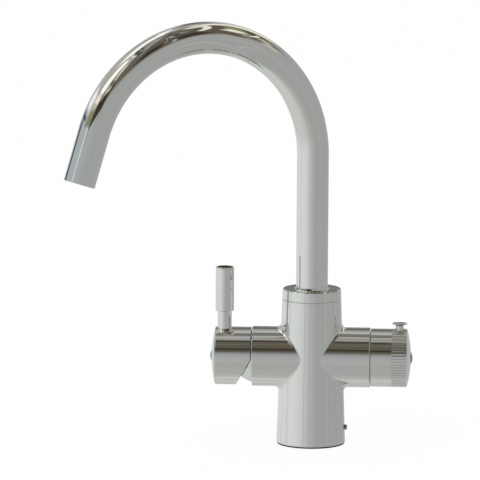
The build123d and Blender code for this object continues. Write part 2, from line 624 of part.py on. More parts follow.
# Mixer cartridge, sliding pieces: the upper ceramic disc and the carrier that the stem's ball moves.
# Shut, they lie low in the cartridge, and the lever's tilt lifts them.
carrier_foot = TURNING_DISC_END + SEAT_GAP
carrier_mouth = carrier_foot + CARRIER_THICKNESS
with BuildPart() as mixer_moving_disc:
    with BuildSketch(LEFT_ARM.offset(TURNING_DISC_FOOT)):
        with Locations((-DISC_REST_OFFSET, 0)):
            Circle(MOVING_DISC_R)
    extrude(amount=DISC_THICKNESS)
    with BuildSketch(LEFT_ARM.offset(TURNING_DISC_FOOT)):
        with Locations((-DISC_REST_OFFSET, 0)):
            Circle(MOVING_DISC_POCKET_R)
    extrude(amount=MOVING_DISC_POCKET_DEPTH, mode=Mode.SUBTRACT)
save(mixer_moving_disc, "mixer_moving_disc")

with BuildPart() as mixer_disc_carrier:
    with BuildSketch(LEFT_ARM.offset(carrier_foot)):
        with Locations((-DISC_REST_OFFSET, 0)):
            Circle(MOVING_DISC_R)
    extrude(amount=CARRIER_THICKNESS)
    with BuildSketch(LEFT_ARM.offset(carrier_mouth - STEM_BALL_INSIDE - STEM_BALL_R - BODY_GAP)):
        Circle(STEM_BALL_R + BODY_GAP)
    extrude(amount=STEM_BALL_INSIDE + STEM_BALL_R + BODY_GAP, mode=Mode.SUBTRACT)
save(mixer_disc_carrier, "mixer_disc_carrier")

# Turret: turns in the cartridge with the lever. Two cheeks guide the carrier, the neck holds the
# pin that the stem tilts on, and a slot leaves room for the stem's ball when the lever tilts.
guide_half_width = MOVING_DISC_R + SLIDING_GAP
ball_distance = carrier_mouth - STEM_BALL_INSIDE
ball_arm = PIVOT_DISTANCE - ball_distance
disc_travel = ball_arm * sin(radians(LEVER_TILT_DEG))
slot_half_height = disc_travel + STEM_BALL_R + BODY_GAP
with BuildPart() as mixer_turret:
    with BuildSketch(LEFT_ARM.offset(carrier_foot)):
        Circle(MIXER_CAVITY_R - RUNNING_FIT)
    extrude(amount=TURRET_SHOULDER - carrier_foot)
    with BuildSketch(LEFT_ARM.offset(TURRET_SHOULDER)):
        Circle(TURRET_NECK_R)
    extrude(amount=TURRET_END - TURRET_SHOULDER)
    with BuildSketch(LEFT_ARM.offset(carrier_foot)):
        Rectangle(2 * MIXER_CAVITY_R, 2 * guide_half_width)
    extrude(amount=carrier_mouth + SLIDING_GAP - carrier_foot, mode=Mode.SUBTRACT)
    with BuildSketch(LEFT_ARM.offset(carrier_foot)):
        Rectangle(2 * slot_half_height, DRIVE_ACROSS_FLATS + 2 * BODY_GAP)
    extrude(amount=TURRET_END - carrier_foot, mode=Mode.SUBTRACT)
    with BuildSketch(Plane.XZ.offset(-MIXER_CAVITY_R)):
        with Locations((-PIVOT_DISTANCE, ARM_AXIS_Z)):
            Circle(STEM_PIN_R + SEAT_GAP)
    extrude(amount=2 * MIXER_CAVITY_R, mode=Mode.SUBTRACT)
save(mixer_turret, "mixer_turret")

pin_half_length = sqrt(TURRET_NECK_R**2 - STEM_PIN_R**2) - SLIDING_GAP
with BuildPart() as mixer_stem_pin:
    with BuildSketch(Plane.XZ.offset(-pin_half_length)):
        with Locations((-PIVOT_DISTANCE, ARM_AXIS_Z)):
            Circle(STEM_PIN_R)
    extrude(amount=2 * pin_half_length)
save(mixer_stem_pin, "mixer_stem_pin")

# Barrel sizes that the stem also needs: the floor of the barrel clears the ball-shaped cover.
barrel_floor = PIVOT_DISTANCE + DOME_R + 2 * BODY_GAP

# Stem: a ball in the carrier, a round shaft, and a square end that the lever barrel sits on.
square_foot = PIVOT_DISTANCE - STEM_SQUARE_BEHIND_PIVOT
stem_end = barrel_floor + STEM_SOCKET_DEPTH - SLIDING_GAP
with BuildPart() as mixer_stem:
    with BuildSketch(LEFT_ARM.offset(ball_distance)):
        Circle(STEM_SHAFT_R)
    extrude(amount=square_foot - ball_distance)
    extrude(LEFT_ARM.offset(square_foot) * drive_section(0), amount=stem_end - square_foot)
    with Locations((-ball_distance, 0, ARM_AXIS_Z)):
        Sphere(STEM_BALL_R)
    with BuildSketch(Plane.XZ.offset(-DRIVE_ACROSS_FLATS)):
        with Locations((-PIVOT_DISTANCE, ARM_AXIS_Z)):
            Circle(STEM_PIN_R + RUNNING_FIT)
    extrude(amount=2 * DRIVE_ACROSS_FLATS, mode=Mode.SUBTRACT)
save(mixer_stem, "mixer_stem")

# Ball-shaped cover over the cartridge, centred on the stem's pin, so that the barrel tilts round it.
stem_half_angle = degrees(asin(DRIVE_CORNER_R / (DOME_R - DOME_WALL)))
dome_hole_r = DOME_R * sin(radians(LEVER_TILT_DEG + stem_half_angle)) + BODY_GAP
dome_inner_r = DOME_R - DOME_WALL
skirt_r = MIXER_NUT_BORE_R - CARTRIDGE_GAP
dome_foot = ARM_REACH - PIVOT_DISTANCE
skirt_foot = NUT_BORE_START + CLAMP_NUT_LENGTH + SLIDING_GAP
web_top = dome_foot + DOME_WEB


def on_dome(radius, along):
    """Point of a sphere round the pin, in the left section plane, at a distance from its centre."""
    return (PIVOT_DISTANCE + along, sqrt(radius**2 - along**2))


hole_outer = sqrt(DOME_R**2 - dome_hole_r**2)
hole_inner = sqrt(dome_inner_r**2 - dome_hole_r**2)
with BuildPart() as lever_dome_cover:
    with BuildSketch(LEFT_SECTION):
        with BuildLine():
            ThreePointArc(
                on_dome(DOME_R, dome_foot),
                on_dome(DOME_R, (dome_foot + hole_outer) / 2),
                on_dome(DOME_R, hole_outer),
            )
            Line(on_dome(DOME_R, hole_outer), on_dome(dome_inner_r, hole_inner))
            ThreePointArc(
                on_dome(dome_inner_r, hole_inner),
                on_dome(dome_inner_r, (web_top + hole_inner) / 2),
                on_dome(dome_inner_r, web_top),
            )
            Polyline(
                on_dome(dome_inner_r, web_top),
                (PIVOT_DISTANCE + web_top, skirt_r - DOME_SKIRT_WALL),
                (skirt_foot, skirt_r - DOME_SKIRT_WALL),
                (skirt_foot, skirt_r),
                (ARM_REACH, skirt_r),
                on_dome(DOME_R, dome_foot),
            )
        make_face()
    revolve(axis=ARM_AXIS)
save(lever_dome_cover, "lever_dome_cover")

# Lever barrel: a drum, open towards the body, that sits on the stem. Its lower inner side is cut
# away at a slant, so that it clears the arm when the lever is pulled outwards.
handle_seat_z = ARM_AXIS_Z + sqrt(BARREL_R**2 - HANDLE_NECK_R**2) - BODY_GAP
handle_plane = Plane(origin=(-HANDLE_DISTANCE, 0, handle_seat_z))
grub_plane = Plane(origin=(-(barrel_floor + STEM_SOCKET_DEPTH / 2), 0, ARM_AXIS_Z), z_dir=(0, 0, -1))
cut_foot_r = -(BARREL_R + EDGE_BREAK)
cut_run = (CUT_START_ABOVE_AXIS - cut_foot_r) * tan(radians(CUT_ANGLE_DEG))
with BuildPart() as lever_barrel:
    with BuildSketch(LEFT_ARM.offset(HANDLE_RIM)):
        Circle(BARREL_R)
    extrude(amount=BARREL_END - HANDLE_RIM)
    chamfer(lever_barrel.faces().filter_by(Axis.X).edges(), EDGE_BREAK)
    with BuildSketch(LEFT_ARM.offset(HANDLE_RIM)):
        Circle(BARREL_R - BARREL_WALL)
    extrude(amount=barrel_floor - HANDLE_RIM, mode=Mode.SUBTRACT)
    with BuildSketch(LEFT_ARM.offset(BARREL_END - CAP_RECESS_DEPTH)):
        Circle(BARREL_R - CAP_RECESS_WALL)
    extrude(amount=CAP_RECESS_DEPTH, mode=Mode.SUBTRACT)
    with BuildSketch(LEFT_SECTION):
        with BuildLine():
            Polyline(
                (HANDLE_RIM - EDGE_BREAK, CUT_START_ABOVE_AXIS),
                (HANDLE_RIM, CUT_START_ABOVE_AXIS),
                (HANDLE_RIM + cut_run, cut_foot_r),
                (HANDLE_RIM - EDGE_BREAK, cut_foot_r),
                close=True,
            )
        make_face()
    extrude(amount=BARREL_R + EDGE_BREAK, both=True, mode=Mode.SUBTRACT)
    stem_socket = LEFT_ARM.offset(barrel_floor) * drive_section(RUNNING_FIT)
    extrude(stem_socket, amount=STEM_SOCKET_DEPTH, mode=Mode.SUBTRACT)
    with BuildSketch(handle_plane):
        Circle(HANDLE_NECK_R + SEAT_GAP)
    extrude(amount=BARREL_R, mode=Mode.SUBTRACT)
    with BuildSketch(handle_plane):
        Circle(HANDLE_STUB_R + SEAT_GAP)
    extrude(amount=-(HANDLE_STUB_LENGTH + SLIDING_GAP), mode=Mode.SUBTRACT)
    with BuildSketch(grub_plane):
        Circle(GRUB_SCREW_R + SEAT_GAP)
    extrude(amount=BARREL_R, mode=Mode.SUBTRACT)
save(lever_barrel, "lever_barrel")

grub_foot = DRIVE_ACROSS_FLATS / 2 + SEAT_GAP
with BuildPart() as lever_grub_screw:
    with BuildSketch(grub_plane.offset(grub_foot)):
        Circle(GRUB_SCREW_R)
    extrude(amount=GRUB_SCREW_LENGTH)
    with BuildSketch(grub_plane.offset(grub_foot + GRUB_SCREW_LENGTH)):
        RegularPolygon(GRUB_SCREW_KEY_ACROSS / 2, 6, major_radius=False)
    extrude(amount=-GRUB_SCREW_KEY_ACROSS, mode=Mode.SUBTRACT)
save(lever_grub_screw, "lever_grub_screw")

# Lever handle: one turned stick with a thinner neck, screwed into the barrel.
with BuildPart() as lever_handle:
    with BuildSketch(Plane.XZ):
        with BuildLine():
            Polyline(
                (-HANDLE_DISTANCE, handle_seat_z - HANDLE_STUB_LENGTH),
                (-HANDLE_DISTANCE + HANDLE_STUB_R, handle_seat_z - HANDLE_STUB_LENGTH),
                (-HANDLE_DISTANCE + HANDLE_STUB_R, handle_seat_z),
                (-HANDLE_DISTANCE + HANDLE_NECK_R, handle_seat_z),
                (-HANDLE_DISTANCE + HANDLE_NECK_R, HANDLE_SHOULDER_Z),
                (-HANDLE_DISTANCE + HANDLE_GRIP_R - EDGE_BREAK, HANDLE_SHOULDER_Z),
                (-HANDLE_DISTANCE + HANDLE_GRIP_R, HANDLE_SHOULDER_Z + EDGE_BREAK),
                (-HANDLE_DISTANCE + HANDLE_GRIP_R, HANDLE_TOP_Z - HANDLE_TOP_CHAMFER),
                (-HANDLE_DISTANCE + HANDLE_GRIP_R - HANDLE_TOP_CHAMFER, HANDLE_TOP_Z),
                (-HANDLE_DISTANCE, HANDLE_TOP_Z),
                close=True,
            )
        make_face()
    revolve(axis=Axis((-HANDLE_DISTANCE, 0, 0), (0, 0, 1)))
save(lever_handle, "lever_handle")


def cap_sphere(end, handle_r):
    """Radius and centre distance of the shallow dome that closes a handle."""
    rise = CAP_RISE - CAP_RIM_LAND
    radius = ((handle_r - CAP_RIM_INSET) ** 2 + rise**2) / (2 * rise)
    return radius, end + CAP_RISE - radius


def end_cap(section, end, handle_r, bead_r):
    """Shallow domed cap with a spigot that presses into the handle and a seat for the bead."""
    dome_r, centre = cap_sphere(end, handle_r)
    rim_r = handle_r - CAP_RIM_INSET
    spigot_r = handle_r - CAP_RECESS_WALL - SEAT_GAP
    bead_edge = centre + sqrt(dome_r**2 - bead_r**2)
    middle_r = (rim_r + bead_r) / 2
    bead_floor = end + CAP_RISE - BEAD_DEPTH
    with BuildPart() as cap:
        with BuildSketch(section):
            with BuildLine():
                ThreePointArc(
                    (end + CAP_RIM_LAND, rim_r),
                    (centre + sqrt(dome_r**2 - middle_r**2), middle_r),
                    (bead_edge, bead_r),
                )
                Polyline(
                    (bead_edge, bead_r),
                    (bead_floor, bead_r),
                    (bead_floor, 0),
                    (end, 0),
                    (end, spigot_r - CAP_SPIGOT_WALL),
                    (end - CAP_SPIGOT_LENGTH, spigot_r - CAP_SPIGOT_WALL),
                    (end - CAP_SPIGOT_LENGTH, spigot_r),
                    (end, spigot_r),
                    (end, rim_r),
                    (end + CAP_RIM_LAND, rim_r),
                )
            make_face()
        revolve(axis=ARM_AXIS)
    return cap


def index_bead(section, end, handle_r, bead_r):
    """Coloured bead in the middle of a cap, with a domed face."""
    dome_r, centre = cap_sphere(end, handle_r)
    seat_r = bead_r - SEAT_GAP
    bead_floor = end + CAP_RISE - BEAD_DEPTH
    bead_edge = centre + sqrt(dome_r**2 - bead_r**2)
    apex = end + CAP_RISE + BEAD_RISE
    face_r = (seat_r**2 + (apex - bead_edge) ** 2) / (2 * (apex - bead_edge))
    middle_r = seat_r / 2
    with BuildPart() as bead:
        with BuildSketch(section):
            with BuildLine():
                ThreePointArc(
                    (bead_edge, seat_r),
                    (apex - face_r + sqrt(face_r**2 - middle_r**2), middle_r),
                    (apex, 0),
                )
                Polyline((apex, 0), (bead_floor, 0), (bead_floor, seat_r), (bead_edge, seat_r))
            make_face()
        revolve(axis=ARM_AXIS)
    return bead


lever_end_cap = end_cap(LEFT_SECTION, BARREL_END, BARREL_R, LEVER_BEAD_R)
save(lever_end_cap, "lever_end_cap")

lever_index_bead = index_bead(LEFT_SECTION, BARREL_END, BARREL_R, LEVER_BEAD_R)
save(lever_index_bead, "lever_index_bead")

# Dial cartridge, fixed pieces.
valve_base_seals = base_seals(RIGHT_ARM)
save(valve_base_seals, "valve_base_seals")

valve_cartridge_base = cartridge_base(RIGHT_ARM, VALVE_BORE_R)
save(valve_cartridge_base, "valve_cartridge_base")

with BuildPart() as valve_fixed_disc:
    with BuildSketch(RIGHT_ARM.offset(FIXED_DISC_FOOT)):
        Circle(VALVE_CAVITY_R - SLIDING_GAP)
        with Locations(*INLETS):
            Circle(PASSAGE_R, mode=Mode.SUBTRACT)
        with Locations((SEAT_PORT_RISE / 2, 0)):
            SlotCenterToCenter(SEAT_PORT_RISE, 2 * PASSAGE_R, mode=Mode.SUBTRACT)
    extrude(amount=DISC_THICKNESS)
save(valve_fixed_disc, "valve_fixed_disc")

spindle_flange_foot = TURNING_DISC_END + SEAT_GAP
spindle_flange_end = spindle_flange_foot + SPINDLE_FLANGE_THICKNESS
with BuildPart() as valve_cartridge_housing:
    with BuildSketch(RIGHT_SECTION):
        with BuildLine():
            Polyline(
                (FIXED_DISC_FOOT, VALVE_CAVITY_R),
                (FIXED_DISC_FOOT, VALVE_BORE_R - CARTRIDGE_GAP),
                (NUT_BORE_START, VALVE_BORE_R - CARTRIDGE_GAP),
                (NUT_BORE_START, VALVE_NECK_R),
                (VALVE_NECK_END, VALVE_NECK_R),
                (VALVE_NECK_END, SPINDLE_SHAFT_R + RUNNING_FIT),
                (spindle_flange_end + SLIDING_GAP, SPINDLE_SHAFT_R + RUNNING_FIT),
                (spindle_flange_end + SLIDING_GAP, VALVE_CAVITY_R),
                close=True,
            )
        make_face()
    revolve(axis=ARM_AXIS)
save(valve_cartridge_housing, "valve_cartridge_housing")

valve_clamp_nut = clamp_nut(RIGHT_ARM, VALVE_NUT_BORE_R, VALVE_NECK_R)
save(valve_clamp_nut, "valve_clamp_nut")

# Dial cartridge, turning pieces: the ceramic disc joins the outlet to one inlet or the other.
with BuildPart() as valve_rotating_disc:
    with BuildSketch(RIGHT_ARM.offset(TURNING_DISC_FOOT)):
        Circle(VALVE_CAVITY_R - SLIDING_GAP)
    extrude(amount=DISC_THICKNESS)
    wedge_rise = VALVE_RECESS_R * tan(radians(VALVE_RECESS_HALF_ANGLE))
    with BuildSketch(RIGHT_ARM.offset(TURNING_DISC_FOOT)):
        Circle(VALVE_RECESS_R)
        Polygon(
            (0, 0),
            (VALVE_RECESS_R, wedge_rise),
            (VALVE_RECESS_R, -wedge_rise),
            align=None,
            mode=Mode.INTERSECT,
        )
        Circle(VALVE_RECESS_CENTRE_R)
    extrude(amount=VALVE_RECESS_DEPTH, mode=Mode.SUBTRACT)
save(valve_rotating_disc, "valve_rotating_disc")

dial_screw_tip = DIAL_HUB_END - DIAL_SCREW_LENGTH
with BuildPart() as valve_spindle:
    with BuildSketch(RIGHT_ARM.offset(spindle_flange_foot)):
        Circle(VALVE_CAVITY_R - SLIDING_GAP)
    extrude(amount=SPINDLE_FLANGE_THICKNESS)
    with BuildSketch(RIGHT_ARM.offset(spindle_flange_end)):
        Circle(SPINDLE_SHAFT_R)
    extrude(amount=SPINDLE_SHOULDER - spindle_flange_end)
    extrude(RIGHT_ARM.offset(SPINDLE_SHOULDER) * drive_section(0), amount=SPINDLE_SQUARE_LENGTH)
    with BuildSketch(RIGHT_ARM.offset(dial_screw_tip - SLIDING_GAP)):
        Circle(DIAL_SCREW_R + SEAT_GAP)
    extrude(amount=SPINDLE_END - dial_screw_tip + SLIDING_GAP, mode=Mode.SUBTRACT)
save(valve_spindle, "valve_spindle")

# Stop ring: sits on the arm's face round the cartridge's neck. The dial's lug runs in its slot.
with BuildPart() as dial_stop_ring:
    with BuildSketch(RIGHT_ARM.offset(ARM_REACH)):
        Circle(STOP_RING_R)
        Circle(VALVE_NECK_R + SEAT_GAP, mode=Mode.SUBTRACT)
        with BuildLine():
            stop_path = CenterArc((0, 0), STOP_SLOT_R, 180 - DIAL_TURN_DEG, 2 * DIAL_TURN_DEG)
        SlotArc(stop_path, 2 * (STOP_LUG_R + BODY_GAP), mode=Mode.SUBTRACT)
    extrude(amount=STOP_RING_THICKNESS)
save(dial_stop_ring, "dial_stop_ring")

# Dial: a drum on the spindle, smooth towards the body and straight-knurled towards its end.
button_plane = Plane(origin=(BUTTON_DISTANCE, 0, ARM_AXIS_Z))
with BuildPart() as dial_shell:
    with BuildSketch(RIGHT_ARM.offset(HANDLE_RIM)):
        Circle(DIAL_R)
    extrude(amount=DIAL_END - HANDLE_RIM)
    chamfer(dial_shell.faces().sort_by(Axis.X)[0].edges(), DIAL_RIM_BREAK)
    chamfer(dial_shell.faces().sort_by(Axis.X)[-1].edges(), EDGE_BREAK)
    for start, end, hub_start, hub_end in (
        (HANDLE_RIM, DIAL_WEB_START, DIAL_HUB_START, DIAL_WEB_START),
        (DIAL_WEB_START + DIAL_WEB_THICKNESS, DIAL_END, DIAL_WEB_START + DIAL_WEB_THICKNESS, DIAL_HUB_END),
    ):
        with BuildSketch(RIGHT_ARM.offset(start)):
            Circle(DIAL_R - DIAL_WALL)
        extrude(amount=end - start, mode=Mode.SUBTRACT)
        with BuildSketch(RIGHT_ARM.offset(hub_start)):
            Circle(DIAL_HUB_R)
        extrude(amount=hub_end - hub_start)
    with BuildSketch(RIGHT_ARM.offset(ARM_REACH + BODY_GAP)):
        with Locations((-STOP_SLOT_R, 0)):
            Circle(STOP_LUG_R)
    extrude(amount=DIAL_WEB_START - ARM_REACH - BODY_GAP)
    hub_socket = RIGHT_ARM.offset(DIAL_HUB_START) * drive_section(SEAT_GAP)
    extrude(hub_socket, amount=DIAL_HUB_SOCKET_END - DIAL_HUB_START, mode=Mode.SUBTRACT)
    with BuildSketch(RIGHT_ARM.offset(DIAL_HUB_SOCKET_END)):
        Circle(DIAL_SCREW_R + SLIDING_GAP)
    extrude(amount=DIAL_HUB_END - DIAL_HUB_SOCKET_END, mode=Mode.SUBTRACT)
    with BuildSketch(button_plane):
        Circle(BUSH_R + SEAT_GAP)
    extrude(amount=DIAL_R, mode=Mode.SUBTRACT)
    with BuildSketch(RIGHT_ARM.offset(KNURL_START)):
        with PolarLocations(DIAL_R, KNURL_COUNT):
            Polygon(
                (-KNURL_DEPTH, 0),
                (EDGE_BREAK, KNURL_WIDTH / 2),
                (EDGE_BREAK, -KNURL_WIDTH / 2),
                align=None,
            )
    extrude(amount=DIAL_END - KNURL_START, mode=Mode.SUBTRACT)
save(dial_shell, "dial_shell")

with BuildPart() as dial_screw:
    with BuildSketch(RIGHT_ARM.offset(dial_screw_tip)):
        Circle(DIAL_SCREW_R)
    extrude(amount=DIAL_SCREW_LENGTH)
    with BuildSketch(RIGHT_ARM.offset(DIAL_HUB_END)):
        Circle(DIAL_SCREW_HEAD_R)
    extrude(amount=DIAL_SCREW_HEAD_HEIGHT)
    with BuildSketch(RIGHT_ARM.offset(DIAL_HUB_END + DIAL_SCREW_HEAD_HEIGHT)):
        RegularPolygon(DIAL_SCREW_KEY_ACROSS / 2, 6, major_radius=False)
    extrude(amount=-DIAL_SCREW_HEAD_HEIGHT / 2, mode=Mode.SUBTRACT)
save(dial_screw, "dial_screw")

dial_end_cap = end_cap(RIGHT_SECTION, DIAL_END, DIAL_R, DIAL_BEAD_R)
save(dial_end_cap, "dial_end_cap")

dial_index_bead = index_bead(RIGHT_SECTION, DIAL_END, DIAL_R, DIAL_BEAD_R)
save(dial_index_bead, "dial_index_bead")

# Safety button and its parts, on an upright axis through the dial's wall. The bush guides the
# stem and holds the return spring; a ring on the stem's tail keeps the button in.
bush_top = DIAL_R + BUSH_STANDS_OUT
chamber_foot = BUSH_BOTTOM_RADIUS + BUSH_FLOOR
with BuildPart() as button_bush:
    for start, end, bore_r in (
        (BUSH_BOTTOM_RADIUS, chamber_foot, BUTTON_TAIL_R + RUNNING_FIT),
        (chamber_foot, bush_top - BUSH_GUIDE_LENGTH, BUSH_R - BUSH_SPRING_WALL),
        (bush_top - BUSH_GUIDE_LENGTH, bush_top, BUTTON_STEM_R + RUNNING_FIT),
    ):
        with BuildSketch(button_plane.offset(start)):
            Circle(BUSH_R)
            Circle(bore_r, mode=Mode.SUBTRACT)
        extrude(amount=end - start)
save(button_bush, "button_bush")

shoulder = bush_top - BUTTON_SHOULDER_DEPTH
head_rim_z = BUTTON_HEAD_TOP_Z - BUTTON_HEAD_RIM
with BuildPart() as safety_button:
    with BuildSketch(Plane.XZ):
        with BuildLine():
            Polyline(
                (BUTTON_DISTANCE, ARM_AXIS_Z + BUTTON_TAIL_END_RADIUS),
                (BUTTON_DISTANCE + BUTTON_TAIL_R, ARM_AXIS_Z + BUTTON_TAIL_END_RADIUS),
                (BUTTON_DISTANCE + BUTTON_TAIL_R, ARM_AXIS_Z + shoulder),
                (BUTTON_DISTANCE + BUTTON_STEM_R, ARM_AXIS_Z + shoulder),
                (BUTTON_DISTANCE + BUTTON_STEM_R, head_rim_z - BUTTON_HEAD_CONE),
                (BUTTON_DISTANCE + BUTTON_HEAD_R, head_rim_z),
                (BUTTON_DISTANCE + BUTTON_HEAD_R, BUTTON_HEAD_TOP_Z - EDGE_BREAK),
                (BUTTON_DISTANCE + BUTTON_HEAD_R - EDGE_BREAK, BUTTON_HEAD_TOP_Z),
                (BUTTON_DISTANCE, BUTTON_HEAD_TOP_Z),
                close=True,
            )
        make_face()
    revolve(axis=Axis((BUTTON_DISTANCE, 0, 0), (0, 0, 1)))
save(safety_button, "safety_button")

clip_foot = BUSH_BOTTOM_RADIUS - SLIDING_GAP - CLIP_THICKNESS
with BuildPart() as button_clip:
    with BuildSketch(button_plane.offset(clip_foot)):
        Circle(CLIP_R)
        Circle(BUTTON_TAIL_R + SEAT_GAP, mode=Mode.SUBTRACT)
    extrude(amount=CLIP_THICKNESS)
save(button_clip, "button_clip")

# Return spring: an open coil on arcs of a quarter turn, between the bush's floor and the stem's
# shoulder.
spring_foot = chamber_foot + SPRING_WIRE_R
spring_height = shoulder - SPRING_WIRE_R - spring_foot
spring_plane = button_plane.offset(spring_foot)


def coil_point(turn):
    """Point of the coil's centre line, in the spring's plane, after a number of turns."""
    angle = 2 * pi * turn
    return (SPRING_MEAN_R * cos(angle), SPRING_MEAN_R * sin(angle), spring_height * turn / SPRING_TURNS)


with BuildPart() as button_spring:
    with BuildLine(spring_plane) as coil:
        for quarter in range(4 * SPRING_TURNS):
            turn = quarter / 4
            ThreePointArc(coil_point(turn), coil_point(turn + 1 / 8), coil_point(turn + 1 / 4))
    with BuildSketch(Plane(origin=coil.line @ 0, z_dir=coil.line % 0)):
        Circle(SPRING_WIRE_R)
    sweep(path=coil.line)
save(button_spring, "button_spring")

print(f"lever pivot x {-PIVOT_DISTANCE}, ball arm {ball_arm:.3f}, disc travel {disc_travel:.4f}")
print(f"button travel {BUTTON_TRAVEL}, spring foot z {ARM_AXIS_Z + chamber_foot:.2f}")
print(f"coil turns lie {spring_height / SPRING_TURNS - 2 * SPRING_WIRE_R:.2f} mm apart")
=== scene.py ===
"""Looks of a boiling water tap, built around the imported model.

Sizes are in millimetres, and a mesh becomes metres when it is made. The column stands on the
origin, its front towards -Y, with the lever's arm along -X and the dial's arm along +X.
"""

from math import acos, asin, atan, atan2, cos, pi, radians, sin, sqrt, tan

import bpy
from mathutils import Matrix, Vector
from mathutils.geometry import tessellate_polygon


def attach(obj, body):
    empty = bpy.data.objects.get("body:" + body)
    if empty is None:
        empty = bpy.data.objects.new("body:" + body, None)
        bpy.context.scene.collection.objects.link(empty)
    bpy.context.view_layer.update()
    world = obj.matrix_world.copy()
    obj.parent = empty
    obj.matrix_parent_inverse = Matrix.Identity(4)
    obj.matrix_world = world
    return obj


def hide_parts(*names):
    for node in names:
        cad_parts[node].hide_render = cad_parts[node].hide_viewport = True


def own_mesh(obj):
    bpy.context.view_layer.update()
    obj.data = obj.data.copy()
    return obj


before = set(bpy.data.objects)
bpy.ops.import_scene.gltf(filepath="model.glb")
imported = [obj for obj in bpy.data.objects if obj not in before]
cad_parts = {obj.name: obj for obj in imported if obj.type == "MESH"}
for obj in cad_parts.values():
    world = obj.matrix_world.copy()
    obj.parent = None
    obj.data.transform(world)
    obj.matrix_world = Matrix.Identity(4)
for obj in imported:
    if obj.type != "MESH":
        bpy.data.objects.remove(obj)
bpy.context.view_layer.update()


# Setting: a white worktop under a white surround, and one large soft lamp high at the front left.
# The polished metal mirrors a day-lit room instead: windows at the left, a dark ceiling over the
# front, a cream wall at the right and a pale floor. The lamp itself isn't seen in the metal.
NICKEL_COLOUR = (0.80, 0.79, 0.76)
SOFTNESS = 0.55


def add_node(tree, kind, inputs=None, **settings):
    """Adds a node. An input is a value or another node's output, under its name or number."""
    made = tree.nodes.new(kind)
    for name, value in settings.items():
        setattr(made, name, value)
    for name, value in (inputs or {}).items():
        if isinstance(value, bpy.types.NodeSocket):
            tree.links.new(value, made.inputs[name])
        else:
            made.inputs[name].default_value = value
    return made


def maths(tree, operation, *values):
    """Adds a Math node and returns its result."""
    return add_node(tree, "ShaderNodeMath", dict(enumerate(values)), operation=operation).outputs[0]


def new_object(name, data):
    """Puts a new object into the scene."""
    made = bpy.data.objects.new(name, data)
    bpy.context.scene.collection.objects.link(made)
    return made


FINISHES = {
    "daylight": (252, 253, 250), "sky": (230, 236, 237), "white": (222, 224, 217), "bright": (206, 209, 206),
    "pale": (193, 195, 190), "mid": (172, 174, 170), "grey": (154, 156, 153), "cool": (162, 170, 174),
    "shade": (110, 113, 110), "slate": (82, 88, 92), "cream": (228, 224, 204),
    "warm": (206, 202, 186), "sand": (186, 181, 160), "straw": (168, 164, 145), "leaf": (130, 133, 99),
    "oak": (130, 126, 114), "timber": (105, 99, 90), "brown": (90, 84, 73), "dark": (56, 53, 44),
}


def mirrored(finish):
    """Light that polished nickel shows as a finish of the room, which is written as seen on a screen."""
    levels = [(value / 255) ** 2.2 / tint for value, tint in zip(FINISHES[finish], NICKEL_COLOUR)]
    return (*levels, 1)


def blended(tree, share, low, high):
    """Mix of two colours."""
    mix = add_node(tree, "ShaderNodeMix", {0: share}, data_type="RGBA")
    for socket, value in zip([s for s in mix.inputs if s.type == "RGBA"], (low, high)):
        if isinstance(value, bpy.types.NodeSocket):
            tree.links.new(value, socket)
        else:
            socket.default_value = value
    return next(s for s in mix.outputs if s.type == "RGBA")


def mapped(tree, value, start, end, low, high):
    """Level that goes evenly from low at start to high at end."""
    limits = {"Value": value, "From Min": start, "From Max": end, "To Min": low, "To Max": high}
    return add_node(tree, "ShaderNodeMapRange", limits).outputs[0]


def soft_step(tree, value, start, end):
    """0 before start and 1 after end, smooth between; start may be the larger."""
    limits = {"Value": value, "From Min": start, "From Max": end}
    return add_node(tree, "ShaderNodeMapRange", limits, interpolation_type="SMOOTHSTEP").outputs[0]


def patch(tree, azimuth, elevation, place, size, edges, lean=0, bow=0):
    """1 inside a soft-edged patch of the room and 0 outside, with its place and half size in degrees.

    It rises by lean for each degree to the right, and sags by bow for each degree squared.
    """
    aside = maths(tree, "WRAP", maths(tree, "SUBTRACT", azimuth, place[0]), 180, -180)
    beside = maths(tree, "ABSOLUTE", aside)
    across = soft_step(tree, beside, size[0] + edges[0] * SOFTNESS, size[0] - edges[0] * SOFTNESS)
    slant = maths(tree, "MULTIPLY_ADD", aside, -lean, maths(tree, "SUBTRACT", elevation, place[1]))
    above = maths(tree, "MULTIPLY_ADD", maths(tree, "MULTIPLY", aside, aside), bow, slant)
    within = maths(tree, "ABSOLUTE", above)
    up = soft_step(tree, within, size[1] + edges[1] * SOFTNESS, size[1] - edges[1] * SOFTNESS)
    return maths(tree, "MULTIPLY", across, up)


def panel(tree, under, azimuth, elevation, name, finish, *form):
    """Lays a panel over the room, as a patch in one of the finishes."""
    inside = patch(tree, azimuth, elevation, *form)
    laid = blended(tree, inside, under, mirrored(finish))
    laid.node.label = name
    return laid


def streaks(tree, laid, along, spacing, reach, blur=0.2, finishes=("shade", "white")):
    """Lays fine dark and light lines over the room, a few degrees apart, where reach is above 0."""
    wave = {"W": maths(tree, "DIVIDE", along, spacing), "Scale": 1.0, "Detail": 2.0, "Roughness": 0.6}
    lines = add_node(tree, "ShaderNodeTexNoise", wave, noise_dimensions="1D").outputs[0]
    for start, end, finish in ((0.52, 0.52 + blur, finishes[1]), (0.48, 0.48 - blur, finishes[0])):
        share = maths(tree, "MULTIPLY", soft_step(tree, lines, start, end), reach)
        laid = blended(tree, share, laid, mirrored(finish))
    return laid


